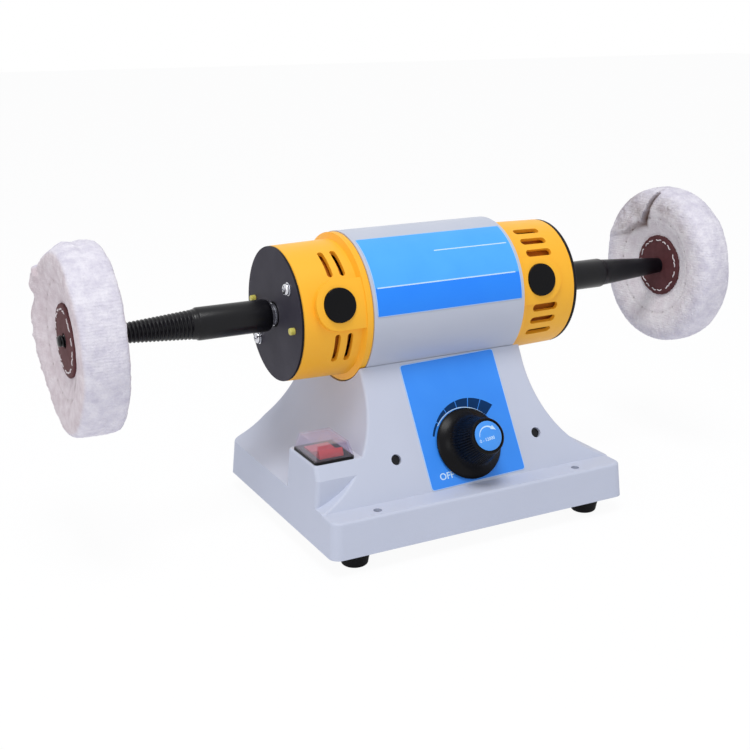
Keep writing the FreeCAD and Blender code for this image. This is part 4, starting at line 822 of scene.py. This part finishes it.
def right_inner_face(spot):
    """Push, darkening and pale lip of a long fold with a frayed lip, and two grey patches above the leather.
    The darkening along the fold's groove and on the cloth beyond it is painted shade. The pale lip is partly
    the cut edge of the cloth and partly a painted highlight.
    """
    patchy = 0.8 + spot.wave + spot.crumple
    push, handled_tint = 0.0, 0.0
    darkening = 0.42 * near_turn(spot.angle, 74, 17) * hill(spot.radius, 43, 6.5) * patchy
    darkening += 0.2 * near_turn(spot.angle, 48, 10) * hill(spot.radius, 40, 3.0)
    line = crease_radius(spot.angle % 360)
    if line is not None:
        gap = spot.radius - line
        fade = 1 - smooth_step(spot.angle % 360, 146, 162)
        inside = smooth_step(gap, -1.6, 0.2)
        fray = 0.7 + 1.6 * noise.noise(spot.point * 0.9)
        push = (0.6 + 1.0 * fade) * inside * hill(gap, 0, 9.0) * spot.flat
        push -= 1.1 * fade * hill(gap, -1.4, 1.1)
        push += 1.2 * fray * fade * hill(gap, 0.5, 0.8) * near_turn(spot.angle, 106, 15)
        # Painted shade along the fold's groove and on the cloth beyond it.
        darkening += fade * hill(gap, -1.9, 2.3) * (0.4 + 0.6 * near_turn(spot.angle, 108, 18))
        darkening += 0.36 * smooth_step(gap, 0.6, 3) * near_turn(spot.angle, 128, 30) * patchy
        # The pale lip: partly the cloth's cut edge, partly a painted highlight.
        handled_tint = 1.2 * fade * hill(gap, 0.2, 0.8) * near_turn(spot.angle, 104, 12)
    return spot.face * push, darkening, handled_tint


def shape_wheel(piece, side, seed):
    """Moves a wheel's points along its axis (push) and outward (lift), and marks darkened and handled places.
    The darkening holds real stains and painted shade in the seam and the fold. The handled tint drops on the
    fold's lip, partly for the cloth's cut edge and partly as a painted highlight.
    """
    soil_and_shade = piece.data.attributes.new("soil_and_shade", "FLOAT", "POINT")
    worn = piece.data.attributes.new("worn", "FLOAT", "POINT")
    soil_and_shade_marks = []
    worn_marks = []
    for vertex in piece.data.vertices:
        spot = read_spot(vertex.co / MM, side, seed)
        push, lift = loose_plies(spot, seed)
        dent, ruffle = crumples(spot, side, seed)
        # The seam's darkening is painted shade in its pits and groove.
        sunk, darkening = seam(spot, seed)
        push += dent + sunk
        lift += ruffle
        handled_tint = 0.8 - 0.8 * smooth_step(spot.radius, 36, 52)
        if side < 0:
            handled_tint = 1 - smooth_step(spot.radius, 49.0, 51.8)
            lift -= hill(spot.offset, -1.0, 2.2) * near_turn(spot.angle, 92, 26) * spot.edge
        if side < 0 < spot.face:
            more_push, more_lift, more_darkening = left_outer_face(spot)
            push += more_push
            lift += more_lift
            darkening += more_darkening
        if spot.face < 0 < side:
            # The fold adds painted shade along its groove and a pale lip, partly a painted highlight.
            more_push, more_darkening, pale_lip = right_inner_face(spot)
            push += more_push
            darkening += more_darkening
            handled_tint -= pale_lip
        scale = (spot.radius + lift) / spot.radius if spot.radius > 20 else 1.0
        x, y, z = spot.point
        vertex.co = Vector((x * scale, y * scale, z + push)) * MM
        soil_and_shade_marks.append(max(0.0, min(1.0, darkening)))
        worn_marks.append(max(0.0, min(1.0, handled_tint)))
    soil_and_shade.data.foreach_set("value", soil_and_shade_marks)
    worn.data.foreach_set("value", worn_marks)


def cotton_material(handled_low, handled_high):
    """Bleached cotton muslin: bluish white and matt on the rim, pinkish grey on the handled faces. The soil
    mark turns it brown for real stains and for painted shade in the seam and the fold.
    """
    material = bpy.data.materials.new("Bleached cotton muslin")
    material.use_nodes = True
    shader = material.node_tree.nodes["Principled BSDF"]
    shader.inputs["Roughness"].default_value = 0.92
    shader.inputs["Specular IOR Level"].default_value = 0.1
    shader.inputs["Sheen Weight"].default_value = 0.15
    place = add_node(material, "TexCoord").outputs["Object"]
    blotch = add_node(material, "TexNoise", {"Scale": 1 / (7 * MM), "Detail": 5.0, "Roughness": 0.65},
                      {"Vector": place})
    patch = add_node(material, "MapRange", {"From Min": 0.35, "From Max": 0.65}, {0: blotch.outputs["Fac"]})
    rim = add_node(material, "MixRGB", {1: colour("d6d2e0"), 2: colour("eeebf3")}, {0: patch.outputs[0]})
    handled = add_node(material, "MixRGB", {1: colour(handled_low), 2: colour(handled_high)},
                       {0: patch.outputs[0]})
    worn = add_node(material, "Attribute", {"attribute_name": "worn"})
    tint = add_node(material, "MixRGB", {},
                    {0: worn.outputs["Fac"], 1: rim.outputs[0], 2: handled.outputs[0]})
    # Brown from the soil mark: real stains, and painted shade in the seam and the fold.
    soil_and_shade = add_node(material, "Attribute", {"attribute_name": "soil_and_shade"})
    stained_and_shaded = add_node(material, "MixRGB", {2: colour("6a4f44")},
                       {0: soil_and_shade.outputs["Fac"], 1: tint.outputs[0]})
    threads = {"Scale": 1 / (1.6 * MM) / 3.2, "Distortion": 1.5, "Detail": 1.0}
    warp = add_node(material, "TexWave", {**threads, "bands_direction": "Z"}, {"Vector": place})
    weft = add_node(material, "TexWave", {**threads, "bands_direction": "Y"}, {"Vector": place})
    weave = add_node(material, "Math", {"operation": "ADD"}, {0: warp.outputs["Fac"], 1: weft.outputs["Fac"]})
    fuzz = add_node(material, "TexNoise", {"Scale": 1 / (1.6 * MM), "Detail": 5.0, "Roughness": 0.6},
                    {"Vector": place})
    relief = add_node(material, "Math", {"operation": "MULTIPLY_ADD", 1: 0.12},
                      {0: weave.outputs[0], 2: fuzz.outputs["Fac"]})
    bump = add_node(material, "Bump", {"Strength": 0.9, "Distance": 0.7 * MM}, {"Height": relief.outputs[0]})
    links = material.node_tree.links
    links.new(stained_and_shaded.outputs[0], shader.inputs["Base Color"])
    links.new(bump.outputs[0], shader.inputs["Normal"])
    return material


well_used = cotton_material("d6c8cd", "eae0e4")
# The right wheel's copy is lighter, partly because that wheel is cleaner and partly as painted light making
# up for the weaker light on its inner face.
lightly_used_with_painted_light = cotton_material("ebe1e4", "fbf6f7")
for side, label, seed, edge, cotton in ((1, "right", 3.0, ROUND_EDGE, lightly_used_with_painted_light),
                                        (-1, "left", 11.0, SQUARE_EDGE, well_used)):
    outline = [(r, WHEEL_PLACES[side] + x) for r, x in wheel_profile(edge)]
    wheel = spun("wheel", outline + [outline[0]], WHEEL_STEPS)
    shape_wheel(wheel, side, seed)
    on_axis(wheel, side)
    settle(wheel, label + "_cotton_wheel", "rotor", cotton, [label + "_wheel"], 60)


# Leather washers
# A disc of dark red-brown leather is sewn on each face of a wheel with one ring of thick white
# thread, whose stitches show as uneven dashes.

LEATHER_RADIUS = 20.4
LEATHER_BORE = 4.3
LEATHER_THICKNESS = 1.75
THREAD_RING = 17.3
THREAD_RADIUS = 0.36
STITCH_COUNT = 17
STITCH_POINTS = 7


def leather_disc(side, face, low):
    """A disc with a rounded, ragged rim. Its inner plane lies at a distance from the wheel's middle."""
    outline = [(LEATHER_BORE, low), (LEATHER_RADIUS - 0.2, low), (LEATHER_RADIUS, low + 0.4),
               (LEATHER_RADIUS - 0.1, low + 1.1), (LEATHER_RADIUS - 0.6, low + 1.6),
               (LEATHER_RADIUS - 1.6, low + LEATHER_THICKNESS), (LEATHER_BORE, low + LEATHER_THICKNESS),
               (LEATHER_BORE, low)]
    piece = spun("disc", [(r, WHEEL_PLACES[side] + face * x) for r, x in outline], 240)
    for vertex in piece.data.vertices:
        spread = hypot(vertex.co.x, vertex.co.y) / MM
        ragged = noise.noise(vertex.co / MM * 0.9) + 0.6 * noise.noise(vertex.co / MM * 0.25)
        share = 1 + 0.022 * ragged * smooth_step(spread, 18, 20)
        vertex.co.x *= share
        vertex.co.y *= share
    return piece


def stitch(number, side, face, low):
    """One short run of thread on the leather, sunk at both ends. Its length and radius vary a little."""
    start = 360 * number / STITCH_COUNT + 3 * sin(number * 2.4)
    length = 13.5 + 2.5 * sin(number * 4.1)
    curve = bpy.data.curves.new("stitch", "CURVE")
    curve.dimensions = "3D"
    curve.bevel_depth = THREAD_RADIUS * MM
    curve.bevel_resolution = 2
    curve.use_fill_caps = True
    line = curve.splines.new("POLY")
    line.points.add(STITCH_POINTS - 1)
    for n, point in enumerate(line.points):
        a = radians(start + length * n / (STITCH_POINTS - 1))
        r = THREAD_RING + 0.35 * sin(number * 1.9 + n)
        sunk = 0.35 if n in (0, STITCH_POINTS - 1) else 0.0
        height = WHEEL_PLACES[side] + face * (low + 1.95 - sunk)
        point.co = (*(Vector((r * cos(a), r * sin(a), height)) * MM), 1)
    run = bpy.data.objects.new("stitch", curve)
    bpy.context.collection.objects.link(run)
    activate(run)
    bpy.ops.object.convert(target="MESH")
    return bpy.context.object


leather = finish("Dyed vegetable-tanned leather", "643a3e", "492526", rough=(0.6, 0.75), grain=1.1,
                 depth=0.09, drift=6, Specular_IOR_Level=0.2)
thread = finish("Waxed white cotton thread", "efe9ea", "dcd2d4", rough=(0.7, 0.85), grain=0.5, depth=0.05,
                drift=4)
for side, label in SIDES:
    discs = []
    stitches = []
    for face in (1, -1):
        low = CENTRE_HALF - 0.15 + (LEFT_LIFT if side < 0 < face else 0)
        discs.append(leather_disc(side, face, low))
        for number in range(STITCH_COUNT):
            stitches.append(stitch(number, side, face, low))
    node = label + "_wheel_leathers"
    washer = joined(discs)
    on_axis(washer, side)
    mend_normals(washer)
    settle(washer, label + "_leather_discs", "rotor", leather, [node], 50)
    run = joined(stitches)
    on_axis(run, side)
    settle(run, label + "_leather_stitches", "rotor", thread, (), 60)


# Floor and background
# The lathe stands on a seamless white sweep that is lit so evenly that only a faint shadow is left
# under the base.

AMBIENT = 0.58
GLOW_SHARE = 0.93

bpy.ops.object.select_all(action="DESELECT")
bpy.ops.mesh.primitive_plane_add(size=12.0, location=(0, 0, 0))
floor = bpy.context.object
floor.name = "floor"
floor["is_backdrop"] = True
sweep = bpy.data.materials.new("White paper sweep")
sweep.use_nodes = True
sweep_nodes = sweep.node_tree.nodes
sweep_nodes.remove(sweep_nodes["Principled BSDF"])
light_path = add_node(sweep, "LightPath")
paper = add_node(sweep, "BsdfDiffuse", {"Color": colour("f4f4f6")})
glow = add_node(sweep, "Emission", {"Color": (1, 1, 1, 1), "Strength": 1.01})
seen = add_node(sweep, "Math", {"operation": "MAXIMUM"},
                {0: light_path.outputs["Is Camera Ray"], 1: light_path.outputs["Is Glossy Ray"]})
share = add_node(sweep, "Math", {"operation": "MULTIPLY", 1: GLOW_SHARE}, {0: seen.outputs[0]})
blend = add_node(sweep, "MixShader", {}, {0: share.outputs[0], 1: paper.outputs[0], 2: glow.outputs[0]})
sweep.node_tree.links.new(blend.outputs[0], sweep_nodes["Material Output"].inputs["Surface"])
floor.data.materials.append(sweep)

scene = bpy.context.scene
world = bpy.data.worlds.new("Studio")
scene.world = world
world.use_nodes = True
world_nodes = world.node_tree.nodes
backdrop = world_nodes["Background"]
ambient = add_node(world, "Background", {"Color": (0.95, 0.96, 1.0, 1), "Strength": AMBIENT})
backdrop.inputs["Color"].default_value = (1, 1, 1, 1)
backdrop.inputs["Strength"].default_value = 1.0
path = add_node(world, "LightPath")
clear = add_node(world, "Math", {"operation": "MAXIMUM"},
                 {0: path.outputs["Is Camera Ray"], 1: path.outputs["Is Transmission Ray"]})
plain = add_node(world, "Math", {"operation": "MAXIMUM"},
                 {0: clear.outputs[0], 1: path.outputs["Is Glossy Ray"]})
world_mix = add_node(world, "MixShader", {},
                     {0: plain.outputs[0], 1: ambient.outputs[0], 2: backdrop.outputs[0]})
world.node_tree.links.new(world_mix.outputs[0], world_nodes["World Output"].inputs["Surface"])


# Lights and camera
# A large soft lamp hangs almost overhead and a weaker one fills from the left, as in a light tent.

LENS = 56.55
SENSOR_WIDTH = 36
CAMERA_PLACE = (-0.349863, -0.606501, 0.298135)


def area_light(name, place, target, size, power):
    data = bpy.data.lights.new(name, "AREA")
    data.shape = "DISK"
    data.size = size
    data.energy = power
    lamp = bpy.data.objects.new(name, data)
    bpy.context.collection.objects.link(lamp)
    lamp.location = place
    lamp.rotation_euler = (Vector(target) - Vector(place)).to_track_quat("-Z", "Y").to_euler()
    return lamp


area_light("key", (-0.25, -0.4, 1.5), (0, 0, 0.1), size=0.6, power=10)
area_light("fill", (-1.3, -0.7, 0.7), (0, 0, 0.1), size=0.8, power=2.3)

camera_data = bpy.data.cameras.new("camera")
camera_data.lens = LENS
camera_data.sensor_width = SENSOR_WIDTH
camera = bpy.data.objects.new("camera", camera_data)
bpy.context.collection.objects.link(camera)
right = Vector((0.88560772, -0.4644093, -0.00479299))
up = Vector((0.1409854, 0.25899112, 0.95553478))
back = -Vector((0.4425179, 0.84690472, -0.29483947))
turn = Matrix((right, up, back)).transposed()
camera.matrix_world = Matrix.Translation(CAMERA_PLACE) @ turn.to_4x4()
scene.camera = camera
scene.view_settings.view_transform = "Standard"
scene.view_settings.look = "None"

low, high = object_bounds()
